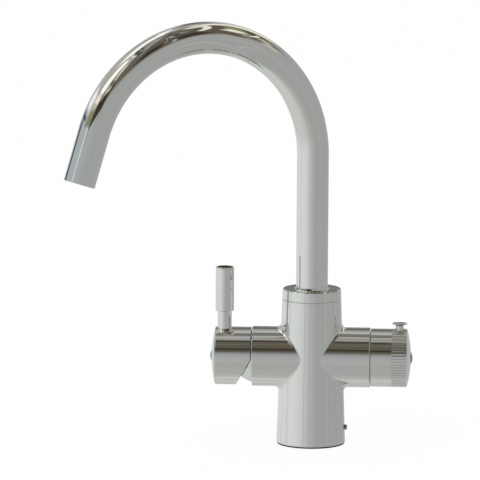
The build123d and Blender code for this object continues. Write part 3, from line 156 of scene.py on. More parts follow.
world = bpy.data.worlds.new("room")
bpy.context.scene.world = world
world.use_nodes = True
world.cycles.sampling_method = "NONE"
room = world.node_tree
room.nodes.clear()
looks_along = add_node(room, "ShaderNodeTexCoord").outputs["Generated"]
to_right, to_back, upward = add_node(room, "ShaderNodeSeparateXYZ", {0: looks_along}).outputs
to_front = maths(room, "MULTIPLY", to_back, -1)
azimuth = maths(room, "DEGREES", maths(room, "ARCTAN2", to_right, to_front))
elevation = maths(room, "DEGREES", maths(room, "ARCSINE", upward))
# Plain floor, walls and ceiling, each a little paler on the side where daylight comes in.
day_side = maths(room, "COSINE", maths(room, "RADIANS", maths(room, "ADD", azimuth, 100)))
daylit = soft_step(room, day_side, -0.6, 0.9)
light = blended(room, daylit, mirrored("grey"), mirrored("pale"))
for start, end, shaded, lit in (
    (-24, -12, "grey", "bright"), (-2, 6, "grey", "cool"), (20, 35, "brown", "straw"),
    (66, 76, "timber", "oak"),
):
    higher = blended(room, daylit, mirrored(shaded), mirrored(lit))
    light = blended(room, soft_step(room, elevation, start, end), light, higher)
for item in (
    ("wall over the chairs", "pale", (180, 19), (12, 7), (5, 1.5)),
    ("wall behind the tap", "shade", (180, 6), (9, 6), (3, 1.5)),
    ("chair back", "dark", (-176.3, 6), (1, 6), (0.4, 1.5)),
    ("second chair back", "brown", (-179.2, 6), (0.8, 6), (0.4, 1.5)),
    ("curtain at the far window", "white", (-164, 56), (5, 17), (2, 6)),
    ("far window", "daylight", (-136, 60), (30, 9), (10, 6)),
    ("near window", "daylight", (-64, 54), (18, 13), (6, 5)),
    ("sill of the near window", "cream", (-62, 37), (19, 3), (5, 3), 0, 0.003),
    ("garden wall", "sand", (-60, 33), (20, 1.5), (6, 1.5), 0, 0.004),
    ("hedge", "leaf", (-62, 25), (20, 5), (8, 2.5), 0.05, 0.004),
    ("pale path", "sand", (-88, 26), (9, 2), (5, 2), 0.15),
    ("sunlit sheet", "sky", (-112, 26), (20, 5), (8, 4), 0.27, 0.004),
    ("table edge", "slate", (-117, 15), (24, 1.3), (6, 1.2), 0.27, 0.002),
    ("chair in shade", "slate", (-124, 7.5), (11, 4), (3, 3), 0.2),
    ("pale cloth", "cool", (-97, 13), (11, 3.5), (3, 1.5), 0.12),
    ("lit box", "warm", (-52, 16), (5, 3), (1.5, 1)),
    ("dark cupboard", "dark", (-24, 28), (20, 8), (4, 3), 0.15),
    ("cupboard side", "brown", (-39, 30), (4, 12), (3, 4)),
    ("lit shelf", "straw", (-22, 53), (14, 11), (5, 4), 0, 0.004),
    ("shelf board", "timber", (-23, 45), (14, 2), (4, 2), -0.3),
    ("shelf front", "sand", (-20, 38.5), (10, 1.6), (4, 1.2), -0.1),
    ("lit jar", "warm", (-19, 55), (7, 4), (4, 3)),
    ("ceiling rail", "brown", (-60, 76), (48, 3.4), (7, 1.2), 0, 0.0021),
    ("lamp over the worktop", "timber", (60, 69), (26, 3), (8, 2), -0.04, 0.0016),
    ("rail's upper edge", "oak", (-60, 76.8), (42, 0.6), (6, 0.6), 0, 0.0021),
    ("lit edge under the rail", "bright", (-58, 70.6), (40, 0.9), (8, 0.8), 0, 0.0018),
    ("gap over the window", "mid", (-58, 68), (38, 0.7), (8, 0.7), 0, 0.0016),
    ("doorway", "dark", (31, 43), (9, 8), (4, 5)),
    ("second doorway", "dark", (58, 42), (8, 9), (4, 5)),
    ("gap of a door", "grey", (47.5, 39), (1.3, 6), (1, 3)),
    ("upper gap", "shade", (41, 53), (1.5, 7), (1.5, 3)),
    ("door post", "brown", (73, 38), (3.5, 15), (2, 4), 0.2),
    ("bright wall", "cream", (101, 46), (12, 5), (6, 4), 0.05),
    ("panelled door", "leaf", (127, 48), (13, 5), (7, 4), -0.1),
    ("shelf edge", "cream", (110, 38), (23, 0.9), (8, 0.9), 0, 0.004),
    ("bowl", "straw", (113, 33), (11, 3), (5, 2.5)),
    ("dark shelf", "oak", (91, 35), (6, 1.5), (4, 1.5), 0.3),
    ("warm cloth", "sand", (97, 26), (8, 3.5), (4, 3), 0.2),
    ("cornice", "cream", (123, 63), (50, 2.3), (6, 1.5), 0.02, 0.0028),
    ("lit ceiling", "warm", (142, 69), (20, 4.5), (9, 3), 0, 0.004),
    ("shade over the cornice", "brown", (95, 67.8), (20, 1.5), (7, 1.2), 0.03, 0.0022),
    ("beam", "brown", (112, 84), (66, 1.6), (10, 1.4), 0, 0.0009),
    ("second beam", "brown", (70, 76), (20, 3), (9, 3), 0.12, 0.002),
    ("curtain", "cream", (158, 38), (9, 20), (6, 6), -0.5),
    ("cool window", "cool", (176, 52), (7, 6), (4, 5)),
    ("left window post", "bright", (-139, -7), (1.2, 6), (1, 2)),
    ("gap beside the post", "sky", (-126, -7), (1.5, 6), (1.2, 2)),
    ("table leg", "pale", (-85, -7), (1.2, 6), (0.8, 2)),
    ("lit leg", "white", (-67, -7), (1.2, 6), (0.8, 2)),
    ("edge of the worktop", "mid", (-24, -7), (1.6, 7), (1.2, 2)),
):
    light = panel(room, light, azimuth, elevation, *item)
# Leaves outside the windows show as short, crisp strokes on the spout's crown.
for place, size, spacing in (((-4, 66), (12, 7), 5), ((57, 69), (19, 4), 11)):
    leaves = patch(room, azimuth, elevation, place, size, (3, 2))
    light = streaks(room, light, azimuth, spacing, leaves, 0.04, ("dark", "mid"))
left_side = maths(room, "MULTIPLY_ADD", soft_step(room, azimuth, -38, -52), 0.22, 0.13)
low_side = maths(room, "MULTIPLY", soft_step(room, elevation, 8, 0), left_side)
light = streaks(room, light, azimuth, 8.0, low_side)
# Boards that run from left to right over the tap show as level lines on both arms. Each has its
# tilt from the front, half width and soft edge, in degrees.
tilt = maths(room, "DEGREES", maths(room, "ARCTAN2", upward, to_front))
boards = mirrored("brown")
for place, width, edge, finish in (
    (26, 13, 1.5, "dark"), (67, 2.5, 2, "dark"), (78, 3.8, 1.2, "grey"), (83, 1.2, 0.8, "oak"),
    (91.5, 4, 1.2, "grey"), (87, 1.2, 0.8, "sand"), (103, 6.5, 1.5, "timber"), (102.4, 1.2, 1, "oak"),
    (130, 6.5, 2, "grey"), (117.3, 6.7, 1.5, "mid"), (158, 19.5, 2, "timber"),
):
    beside = maths(room, "ABSOLUTE", maths(room, "SUBTRACT", tilt, place))
    boards = blended(room, soft_step(room, beside, width + edge, width - edge), boards, mirrored(finish))
sideways = maths(room, "ABSOLUTE", maths(room, "ADD", to_right, 0.05))
over_arms = soft_step(room, sideways, 0.075, 0.05)
from_front_on = maths(room, "MULTIPLY", soft_step(room, tilt, 8, 36), soft_step(room, tilt, 168, 160))
light = blended(room, maths(room, "MULTIPLY", over_arms, from_front_on), light, boards)
line_strength = maths(room, "MULTIPLY", soft_step(room, tilt, 166, 158), 0.1)
light = streaks(room, light, tilt, 4.0, maths(room, "MULTIPLY", over_arms, line_strength))
in_metal = add_node(room, "ShaderNodeBackground", {"Color": light}).outputs[0]
surround = add_node(room, "ShaderNodeBackground", {"Color": (1, 1, 1, 1)}).outputs[0]
glossy_ray = add_node(room, "ShaderNodeLightPath").outputs["Is Glossy Ray"]
shown = add_node(room, "ShaderNodeMixShader", {0: glossy_ray, 1: surround, 2: in_metal})
add_node(room, "ShaderNodeOutputWorld", {0: shown.outputs[0]})

WORKTOP_HALF_WIDTH = 20.0
worktop_mesh = bpy.data.meshes.new("worktop")
worktop_corners = [
    (x * WORKTOP_HALF_WIDTH, y * WORKTOP_HALF_WIDTH, 0) for x, y in ((-1, -1), (1, -1), (1, 1), (-1, 1))
]
worktop_mesh.from_pydata(worktop_corners, [], [(0, 1, 2, 3)])
worktop = new_object("worktop", worktop_mesh)
worktop.visible_glossy = False
white_worktop = bpy.data.materials.new("white_worktop")
white_worktop.use_nodes = True
top = white_worktop.node_tree
top.nodes.clear()
matt_white = add_node(top, "ShaderNodeBsdfDiffuse", {"Color": (0.9, 0.9, 0.9, 1)})
glow = add_node(top, "ShaderNodeEmission", {"Color": (1, 1, 1, 1), "Strength": 1.0})
seen = maths(top, "MULTIPLY", add_node(top, "ShaderNodeLightPath").outputs["Is Camera Ray"], 0.93)
upper_side = add_node(top, "ShaderNodeMixShader", {0: seen, 1: matt_white.outputs[0], 2: glow.outputs[0]})
lower_side = add_node(top, "ShaderNodeBsdfTransparent")
under = add_node(top, "ShaderNodeNewGeometry").outputs["Backfacing"]
whole = add_node(top, "ShaderNodeMixShader", {0: under, 1: upper_side.outputs[0], 2: lower_side.outputs[0]})
add_node(top, "ShaderNodeOutputMaterial", {0: whole.outputs[0]})
worktop_mesh.materials.append(white_worktop)

lamp_data = bpy.data.lights.new("soft_lamp", "AREA")
lamp_data.size = 2.0
lamp_data.energy = 30.0
lamp = new_object("soft_lamp", lamp_data)
lamp.location = (-1.6, -2.4, 3.0)
lamp.rotation_mode = "QUATERNION"
lamp.rotation_quaternion = (-lamp.location).to_track_quat("-Z", "Y")
lamp.visible_glossy = False

# Camera: a long lens six metres away, a little to the right of the tap, looking down on it.
CAMERA_PLACE = Vector((0.228112, -5.903250, 1.153567))
CAMERA_TURN = radians(2.829)
CAMERA_LOOKS_DOWN = radians(9.351)
CAMERA_ROLL = radians(0.3596)
CAMERA_LENS = 511.0
backwards = Vector((
    sin(CAMERA_TURN) * cos(CAMERA_LOOKS_DOWN),
    -cos(CAMERA_TURN) * cos(CAMERA_LOOKS_DOWN),
    sin(CAMERA_LOOKS_DOWN),
))
level = Vector((cos(CAMERA_TURN), sin(CAMERA_TURN), 0))
upwards = backwards.cross(level)
camera_x = level * cos(CAMERA_ROLL) + upwards * sin(CAMERA_ROLL)
camera_y = upwards * cos(CAMERA_ROLL) - level * sin(CAMERA_ROLL)
camera_data = bpy.data.cameras.new("camera")
camera_data.lens = CAMERA_LENS
camera_data.sensor_width = 36
camera_data.clip_end = 100
camera = new_object("camera", camera_data)
camera.matrix_world = Matrix.LocRotScale(
    CAMERA_PLACE, Matrix((camera_x, camera_y, backwards)).transposed().to_quaternion(), None
)
bpy.context.scene.camera = camera
bpy.context.scene.view_settings.view_transform = "Standard"


# Base gasket: a flat ring of black rubber between the column and the worktop. It is set back a
# little from the column's edge, so it shows as a thin dark line.
GASKET_R = 29.65
GASKET_BORE_R = 22.0
GASKET_THICKNESS = 1.35
UP = Vector((0, 0, 1))
RIGHT = Vector((1, 0, 0))
ORIGIN = Vector((0, 0, 0))


class Surface:
    """Faces with a normal at each corner. Corners that meet share one vertex."""

    def __init__(self):
        self.points = []
        self.places = {}
        self.faces = []
        self.normals = []

    def vertex(self, point):
        key = tuple(round(value, 4) for value in point)
        if key not in self.places:
            self.places[key] = len(self.points)
            self.points.append(point)
        return self.places[key]

    def face(self, *corners):
        """Adds a face through (point, normal) corners, turned to face the way its normals do."""
        ring = {}
        for point, normal in corners:
            ring.setdefault(self.vertex(point), normal)
        if len(ring) < 3:
            return
        places = list(ring)
        first, second, third, last = (self.points[places[n]] for n in (0, 1, 2, -1))
        if len(ring) > 3:
            facing = (third - first).cross(last - second)
        else:
            facing = (second - first).cross(third - first)
        if facing.dot(sum(ring.values(), Vector((0, 0, 0)))) < 0:
            places.reverse()
        self.faces.append(places)
        self.normals.extend(ring[place] for place in places)

    def grid(self, rows):
        """Faces between rows of corners."""
        for low, high in zip(rows, rows[1:]):
            for a, b, c, d in zip(low, low[1:], high[1:], high):
                self.face(a, b, c, d)

    def turn(self, profile, origin, along, across, steps):
        """Turns a profile round an axis. It holds (along, radius, normal along, normal out)."""
        third = along.cross(across)
        rows = []
        for step in range(steps + 1):
            angle = 2 * pi * (step % steps) / steps
            out = across * cos(angle) + third * sin(angle)
            rows.append([(origin + along * a + out * r, along * na + out * nr) for a, r, na, nr in profile])
        self.grid(rows)

    def piece(self, name, body, slot, material, *nodes):
        """Makes the object, on its body and in place of its CAD nodes."""
        mesh = bpy.data.meshes.new(name)
        mesh.from_pydata([point * 0.001 for point in self.points], [], self.faces)
        mesh.shade_smooth()
        mesh.normals_split_custom_set(self.normals)
        mesh.materials.append(material)
        made = new_object(name, mesh)
        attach(made, body)
        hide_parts(*nodes)
        return made


def outline(corners, closed=False, arc_steps=4):
    """Profile through (along, radius) corners, with the outside on the left of the way it goes.

    A third number at a corner is the radius that it is rounded to.
    """
    places = [Vector(corner[:2]) for corner in corners]
    rounds = [corner[2] if len(corner) > 2 else 0 for corner in corners]
    if closed:
        places.append(places[0])
        rounds.append(rounds[0])
    ways = [(b - a).normalized() for a, b in zip(places, places[1:])]
    sides = [Vector((-way.y, way.x)) for way in ways]
    profile = []
    last = len(places) - 1
    for index, (place, rounding) in enumerate(zip(places, rounds)):
        before = index - 1 if index else (last - 1 if closed else None)
        after = index if index < last else (0 if closed else None)
        if before is None or after is None:
            side = sides[after if before is None else before]
            profile.append((place.x, place.y, side.x, side.y))
            continue
        turned_by = atan2(ways[before].cross(ways[after]), ways[before].dot(ways[after]))
        setback = rounding * tan(abs(turned_by) / 2)
        inwards = -1 if turned_by < 0 else 1
        centre = place - ways[before] * setback + sides[before] * rounding * inwards
        steps = arc_steps if rounding else 1
        for step in range(steps + 1):
            angle = turned_by * step / steps
            side = Vector((
                sides[before].x * cos(angle) - sides[before].y * sin(angle),
                sides[before].x * sin(angle) + sides[before].y * cos(angle),
            ))
            spot = centre - side * rounding * inwards
            profile.append((spot.x, spot.y, side.x, side.y))
    return profile


def lathe(name, body, slot, material, node, profile, origin, along, across=RIGHT, steps=192):
    """Makes a piece that is turned round an axis."""
    made = Surface()
    made.turn(profile, origin, along, across, steps)
    made.piece(name, body, slot, material, node)


def noise(tree, place, scale, detail):
    """Adds a noise texture and returns its level."""
    inputs = {"Vector": place, "Scale": scale, "Detail": detail}
    return add_node(tree, "ShaderNodeTexNoise", inputs).outputs[0]


def new_material(name, metallic=0.0):
    """New material, its tree and its Object coordinates."""
    material = bpy.data.materials.new(name)
    material.use_nodes = True
    tree = material.node_tree
    tree.nodes["Principled BSDF"].inputs["Metallic"].default_value = metallic
    return material, tree, add_node(tree, "ShaderNodeTexCoord").outputs["Object"]


def coat(material, colour, rough, height=None, strength=0.0, depth=0.0):
    """Gives a material its colour and roughness, and a fine bump of a depth in metres."""
    tree = material.node_tree
    sockets = tree.nodes["Principled BSDF"].inputs
    tree.links.new(colour, sockets["Base Color"])
    tree.links.new(rough, sockets["Roughness"])
    if height:
        bump = add_node(tree, "ShaderNodeBump", {"Height": height, "Strength": strength, "Distance": depth})
        tree.links.new(bump.outputs[0], sockets["Normal"])
    return material


def black_rubber():
    """Matt moulded rubber with a fine, slightly uneven skin."""
    material, tree, place = new_material("moulded_rubber")
    bloom = noise(tree, place, 90.0, 2.0)
    colour = blended(tree, bloom, (0.022, 0.022, 0.023, 1), (0.042, 0.042, 0.043, 1))
    rough = soft_step(tree, bloom, -1.0, 1.2)
    return coat(material, colour, rough, noise(tree, place, 2500.0, 3.0), 0.25, 0.00005)


rubber = black_rubber()
lathe(
    "base_gasket_ring", "root", "black_rubber", rubber, "base_gasket",
    outline([
        (0, GASKET_BORE_R, 0.1), (0, GASKET_R, 0.2), (GASKET_THICKNESS, GASKET_R, 0.2),
        (GASKET_THICKNESS, GASKET_BORE_R, 0.1),
    ], closed=True),
    ORIGIN, UP,
)


# Mounting sleeve: a brass ring in the foot of the column, with a thread for the hollow shank that
# comes up through the worktop. The set screw locks into the groove round it.
SLEEVE_R = 21.7
SLEEVE_HEIGHT = 26.0
SLEEVE_EDGE = 0.3
GROOVE_FOOT = 11.85
GROOVE_HEAD = 16.95
GROOVE_R = 20.2
SHANK_PITCH = 1.5
SHANK_CREST_R = 15.19
SHANK_ROOT_R = 16.0
THREAD_STEPS = 96
THREAD_ROOT_END = 0.6875


def turned_brass(axis):
    """Bare brass from the lathe, with fine tool lines across its axis and a little tarnish."""
    material, tree, place = new_material("turned_brass_" + axis, 1.0)
    tarnish = noise(tree, place, 110.0, 5.0)
    wave = {"Vector": place, "Scale": 900.0, "Distortion": 0.6, "Detail": 2.0}
    lines = add_node(tree, "ShaderNodeTexWave", wave, bands_direction=axis).outputs[1]
    colour = blended(tree, tarnish, (0.66, 0.48, 0.22, 1), (0.84, 0.68, 0.38, 1))
    return coat(material, colour, soft_step(tree, tarnish, -0.3, 1.9), lines, 0.2, 0.00002)


def thread_form(crest_r, root_r, crest_end, root_start):
    """Breaks of a thread's form, as shares of its pitch with their radii."""
    return [
        (0, crest_r), (crest_end, crest_r), (root_start, root_r), (THREAD_ROOT_END, root_r), (1, crest_r)
    ]


def thread_r(breaks, share):
    """Radius of a thread at a share of its pitch."""
    share %= 1
    for (start, start_r), (end, end_r) in zip(breaks, breaks[1:]):
        if share <= end:
            return start_r + (end_r - start_r) * (share - start) / (end - start)


def cut_thread(surface, origin, along, across, low, high, pitch, breaks, steps, outside):
    """Winds a thread round an axis, and returns the rings of points at its two ends."""
    third = along.cross(across)
    spokes = [across * cos(2 * pi * n / steps) + third * sin(2 * pi * n / steps) for n in range(steps + 1)]
    turns = (high - low) / pitch
    for turn in range(-1, int(turns) + 1):
        for (start, start_r), (end, end_r) in zip(breaks, breaks[1:]):
            flank = Vector(((end - start) * pitch, end_r - start_r)).normalized()
            rows = []
            for step, spoke in enumerate(spokes):
                shift = turn + step / steps
                normal = (spoke * flank.x - along * flank.y) * outside
                row = []
                for share in (start, end):
                    place = min(max(shift + share, 0), turns)
                    radius = thread_r(breaks, min(max(place - shift, start), end))
                    row.append((origin + along * (low + place * pitch) + spoke * radius, normal))
                rows.append(row)
            surface.grid(rows)
    return [
        [
            origin + along * place + spoke * thread_r(breaks, (place - low) / pitch - step / steps)
            for step, spoke in enumerate(spokes)
        ]
        for place in (low, high)
    ]


brass_upright = turned_brass("Z")
sleeve = Surface()
sleeve.turn(
    outline([
        (0, SLEEVE_R - SLEEVE_EDGE), (SLEEVE_EDGE, SLEEVE_R), (GROOVE_FOOT, SLEEVE_R, 0.1),
        (GROOVE_FOOT, GROOVE_R), (GROOVE_HEAD, GROOVE_R), (GROOVE_HEAD, SLEEVE_R, 0.1),
        (SLEEVE_HEIGHT - SLEEVE_EDGE, SLEEVE_R), (SLEEVE_HEIGHT, SLEEVE_R - SLEEVE_EDGE),
    ]),
    ORIGIN, UP, RIGHT, THREAD_STEPS,
)
thread_ends = cut_thread(
    sleeve, ORIGIN, UP, RIGHT, 0, SLEEVE_HEIGHT, SHANK_PITCH,
    thread_form(SHANK_CREST_R, SHANK_ROOT_R, 0.25, 0.5625), THREAD_STEPS, -1,
)
for ring, facing in zip(thread_ends, (-UP, UP)):
    rim = [
        Vector((point.x, point.y, 0)).normalized() * (SLEEVE_R - SLEEVE_EDGE) + UP * point.z for point in ring
    ]
    sleeve.grid([[(point, facing) for point in ring], [(point, facing) for point in rim]])
sleeve.piece("shank_sleeve", "root", "brass", brass_upright, "mounting_sleeve")


# Set screw: a blackened steel screw with a hex socket, through the right of the base. Its tip locks
# the sleeve, and its end stands a little out of the column.
SET_SCREW_HEIGHT = 14.4
SET_SCREW_R = 2.5
SET_SCREW_ROOT_R = 2.01
SET_SCREW_PITCH = 0.8
SET_SCREW_TIP = 20.3
SET_SCREW_THREAD_END = 31.5
SET_SCREW_END = 31.86
SET_SCREW_END_R = 2.1
KEY_HALF_WIDTH = 1.25
KEY_DEPTH = 3.0
SCREW_STEPS = 48


def blackened_steel():
    """Steel with a black oxide skin, worn paler in small spots."""
    material, tree, place = new_material("blackened_steel", 1.0)
    wear = noise(tree, place, 700.0, 4.0)
    colour = blended(tree, soft_step(tree, wear, 0.5, 0.75), (0.42, 0.42, 0.42, 1), (0.62, 0.62, 0.62, 1))
    return coat(material, colour, soft_step(tree, wear, 1.4, -0.8))


set_screw = Surface()
screw_axis = UP * SET_SCREW_HEIGHT
tip_ring, head_ring = cut_thread(
    set_screw, screw_axis, RIGHT, UP, SET_SCREW_TIP, SET_SCREW_THREAD_END, SET_SCREW_PITCH,
    thread_form(SET_SCREW_R, SET_SCREW_ROOT_R, 0.125, 0.4375), SCREW_STEPS, 1,
)
tip_middle = screw_axis + RIGHT * SET_SCREW_TIP
set_screw.grid([[(point, -RIGHT) for point in ring] for ring in ([tip_middle] * len(tip_ring), tip_ring)])
end_spokes = [(Vector((0, point.y, point.z)) - screw_axis).normalized() for point in head_ring]
end_middle = screw_axis + RIGHT * SET_SCREW_END
end_rim = [end_middle + spoke * SET_SCREW_END_R for spoke in end_spokes]
set_screw.grid([
    [(point, (spoke + RIGHT).normalized()) for point, spoke in zip(ring, end_spokes)]
    for ring in (head_ring, end_rim)
])
key_rim = []
for step, spoke in enumerate(end_spokes):
    from_flat = (2 * pi * step / SCREW_STEPS + pi / 6) % (pi / 3) - pi / 6
    key_rim.append(end_middle + spoke * (KEY_HALF_WIDTH / cos(from_flat)))
set_screw.grid([[(point, RIGHT) for point in ring] for ring in (end_rim, key_rim)])
for step, (here, after) in enumerate(zip(key_rim, key_rim[1:])):
    flat = round((step + 0.5) / SCREW_STEPS * 6) % 6 * SCREW_STEPS // 6
    deep, deep_after = here - RIGHT * KEY_DEPTH, after - RIGHT * KEY_DEPTH
    set_screw.face(*[(point, -end_spokes[flat]) for point in (here, after, deep_after, deep)])
    set_screw.face((deep, RIGHT), (deep_after, RIGHT), (end_middle - RIGHT * KEY_DEPTH, RIGHT))
set_screw.piece("set_screw", "root", "blackened_screw", blackened_steel(), "base_set_screw")


# Body casting: column and both arms cast in one in brass, machined, polished and plated with
# nickel. A rolled fillet runs round the foot of each arm, and every machined edge is broken.
COLUMN_BASE_R = 30.35
COLUMN_TOP_R = 25.67
COLUMN_HEIGHT = 138.2
COLLAR_FOOT = 129.0
ARM_HEIGHT = 77.1
ARM_R = 26.35
ARM_REACH = 52.0
ARM_FILLET = 4.0
EDGE_BREAK = 0.4
FINE_ROUND = 0.12
RUNNING_GAP = 0.05
SEAT_DISTANCE = 17.0
MIXER_BORE_R = 18.0
MIXER_NUT_BORE_R = 20.5
VALVE_BORE_R = 16.0
VALVE_NUT_BORE_R = 18.5
NUT_BORE_START = 46.0
HOSE_CAVITY_R = 22.0
HOSE_CAVITY_TOP = 45.0
HOSE_PORT_R = 4.46
HOSE_PORT_OFFSET = 6.7
HOSE_PORT_DEPTH = 12.0
PASSAGE_R = 2.5
PASSAGE_TOP = 70.6
SOCKET_R = 18.0
SOCKET_FLOOR = 106.0
NOSE_BORE_R = 13.0
NOSE_BORE_FLOOR = 94.0
ROUND_STEPS = 192
HALF_STEPS = ROUND_STEPS // 2
PORT_STEPS = 32
FILLET_STEPS = 10
COLUMN_LEAN = atan((COLUMN_BASE_R - COLUMN_TOP_R) / COLUMN_HEIGHT)


def polished_nickel():
    """Mirror-bright plate, a little warm, with faint polishing haze that varies over the piece."""
    material, tree, place = new_material("nickel_plate", 1.0)
    haze = noise(tree, place, 45.0, 4.0)
    colour = blended(tree, haze, (0.792, 0.782, 0.750, 1), (0.808, 0.798, 0.770, 1))
    rough = mapped(tree, haze, 0.3, 0.7, 0.004, 0.014)
    return coat(material, colour, rough, noise(tree, place, 1400.0, 2.0), 0.02, 0.00001)


def column_r(height):
    """Outer radius of the column at a height."""
    return COLUMN_BASE_R - tan(COLUMN_LEAN) * height


def fillet_rib(turn, side):
    """Corners of the fillet at one turn round an arm, from the column to the arm."""
    arm_out = Vector((0, -sin(turn), cos(turn)))
    ball = arm_out * (ARM_R + ARM_FILLET) + UP * ARM_HEIGHT
    reach = column_r(ball.z) + ARM_FILLET / cos(COLUMN_LEAN)
    ball.x = side * sqrt(reach**2 - ball.y**2)
    column_out = Vector((ball.x, ball.y, 0)) / reach * cos(COLUMN_LEAN) + UP * sin(COLUMN_LEAN)
    spread = acos(column_out.dot(arm_out))
    rib = []
    for step in range(FILLET_STEPS + 1):
        share = step / FILLET_STEPS
        normal = column_out * sin((1 - share) * spread) + arm_out * sin(share * spread)
        normal /= sin(spread)
        rib.append((ball - normal * ARM_FILLET, normal))
    return rib


nickel = polished_nickel()
body = Surface()
for side, bore_r, nut_bore_r in (
    (-1, MIXER_BORE_R, MIXER_NUT_BORE_R), (1, VALVE_BORE_R, VALVE_NUT_BORE_R)
):
    arm_end = outline([
        (ARM_REACH - 2 * EDGE_BREAK, ARM_R), (ARM_REACH - EDGE_BREAK, ARM_R, FINE_ROUND),
        (ARM_REACH, ARM_R - EDGE_BREAK, FINE_ROUND), (ARM_REACH, nut_bore_r, FINE_ROUND),
        (NUT_BORE_START, nut_bore_r), (NUT_BORE_START, bore_r), (SEAT_DISTANCE, bore_r), (SEAT_DISTANCE, 0),
    ])
    ribs = []
    for step in range(ROUND_STEPS + 1):
        turn = 2 * pi * (step % ROUND_STEPS) / ROUND_STEPS
        out = Vector((0, -sin(turn), cos(turn)))
        tube = [
            (Vector((side * a, 0, ARM_HEIGHT)) + out * r, Vector((side * na, 0, 0)) + out * nr)
            for a, r, na, nr in arm_end
        ]
        ribs.append(fillet_rib(turn, side) + tube)
    body.grid(ribs)
strips = {-1: [], 1: []}
for step in range(HALF_STEPS + 1):
    edge = fillet_rib(pi * step / HALF_STEPS, 1)[0][0]
    half_width = atan2(edge.x, -edge.y)
    for front in (-1, 1):
        row = []
        for place in range(HALF_STEPS + 1):
            angle = half_width * (1 - 2 * place / HALF_STEPS)
            out = Vector((sin(angle), front * cos(angle), 0))
            normal = out * cos(COLUMN_LEAN) + UP * sin(COLUMN_LEAN)
            row.append((out * column_r(edge.z) + UP * edge.z, normal))
        strips[front].append(row)
for strip in strips.values():
    body.grid(strip)
crotch_top = strips[1][0][0][0].z
crotch_foot = strips[1][-1][0][0].z
head = outline([
    (crotch_top, column_r(crotch_top)),
    (COLLAR_FOOT - EDGE_BREAK, column_r(COLLAR_FOOT - EDGE_BREAK), FINE_ROUND),
    (COLLAR_FOOT, column_r(COLLAR_FOOT) - EDGE_BREAK, FINE_ROUND), (COLLAR_FOOT, SOCKET_R),
    (SOCKET_FLOOR, SOCKET_R), (SOCKET_FLOOR, NOSE_BORE_R), (NOSE_BORE_FLOOR, NOSE_BORE_R),
    (NOSE_BORE_FLOOR, 0),
])
foot = outline([
    (HOSE_CAVITY_TOP, HOSE_CAVITY_R), (GASKET_THICKNESS, HOSE_CAVITY_R),
    (GASKET_THICKNESS, column_r(GASKET_THICKNESS) - EDGE_BREAK, FINE_ROUND),
    (GASKET_THICKNESS + EDGE_BREAK, column_r(GASKET_THICKNESS + EDGE_BREAK), FINE_ROUND),
    (crotch_foot, column_r(crotch_foot)),
])
for profile in (head, foot):
    body.turn(profile, ORIGIN, UP, RIGHT, ROUND_STEPS)


def level_circle(middle, radius, steps):
    """Points of a level circle."""
    angles = [2 * pi * n / steps for n in range(steps)]
    return [middle + Vector((radius * cos(angle), radius * sin(angle), 0)) for angle in angles]


roof = [level_circle(ORIGIN, HOSE_CAVITY_R, ROUND_STEPS)]
for x, y in ((1, 1), (-1, 1), (-1, -1), (1, -1)):
    middle = Vector((x * HOSE_PORT_OFFSET, y * HOSE_PORT_OFFSET, 0))
    roof.append(level_circle(middle, HOSE_PORT_R, PORT_STEPS))
    port = outline([
        (PASSAGE_TOP, 0), (PASSAGE_TOP, PASSAGE_R), (HOSE_CAVITY_TOP + HOSE_PORT_DEPTH, PASSAGE_R),
        (HOSE_CAVITY_TOP + HOSE_PORT_DEPTH, HOSE_PORT_R), (HOSE_CAVITY_TOP, HOSE_PORT_R),
    ])
    port = [(a, r, -na, -nr) for a, r, na, nr in port]
    body.turn(port, middle, UP, RIGHT, PORT_STEPS)
roof_points = [point + UP * HOSE_CAVITY_TOP for ring in roof for point in ring]
for corners in tessellate_polygon(roof):
    body.face(*[(roof_points[n], -UP) for n in corners])
body.piece("body", "root", "polished_nickel", nickel, "body_casting")


# Spout collar: a turned ring that screws into the column and ends its taper. A fine groove shows
# where it meets the casting, and the spout turns in its bore.
COLLAR_CHAMFER = 0.7
COLLAR_BORE_R = 14.3
COLLAR_LEAD_IN = 1.2
COLLAR_PLUG_FOOT = 113.6
lathe(
    "collar", "root", "polished_nickel", nickel, "spout_collar",
    outline([
        (COLLAR_PLUG_FOOT, COLLAR_BORE_R, FINE_ROUND), (COLLAR_PLUG_FOOT, SOCKET_R - RUNNING_GAP, FINE_ROUND),
        (COLLAR_FOOT, SOCKET_R - RUNNING_GAP), (COLLAR_FOOT, column_r(COLLAR_FOOT) - EDGE_BREAK, FINE_ROUND),
        (COLLAR_FOOT + EDGE_BREAK, column_r(COLLAR_FOOT + EDGE_BREAK), FINE_ROUND),
        (COLUMN_HEIGHT - COLLAR_CHAMFER, column_r(COLUMN_HEIGHT - COLLAR_CHAMFER), 2 * FINE_ROUND),
        (COLUMN_HEIGHT, COLUMN_TOP_R - COLLAR_CHAMFER, 2 * FINE_ROUND),
        (COLUMN_HEIGHT, COLLAR_BORE_R + COLLAR_LEAD_IN), (COLUMN_HEIGHT - COLLAR_LEAD_IN, COLLAR_BORE_R),
    ], closed=True),
    ORIGIN, UP,
)


# Swivel: the brass spigot brazed into the spout's foot turns in the column between two plastic
# thrust washers. Two rubber rings seal it, and a third seals the small tube inside.
def moulded_plastic(name, dark, pale, rough_low, rough_high):
    """Moulded plastic or fired ceramic, faintly cloudy, with a fine grain in its skin."""
    material, tree, place = new_material(name)
    colour = blended(tree, noise(tree, place, 120.0, 3.0), (*dark, 1), (*pale, 1))
    grain = noise(tree, place, 3500.0, 2.0)
    return coat(material, colour, mapped(tree, grain, 0, 1, rough_low, rough_high), grain, 0.15, 0.00002)


def dress(material, *names):
    """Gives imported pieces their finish."""
    for name in names:
        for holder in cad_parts[name].material_slots:
            holder.material = material


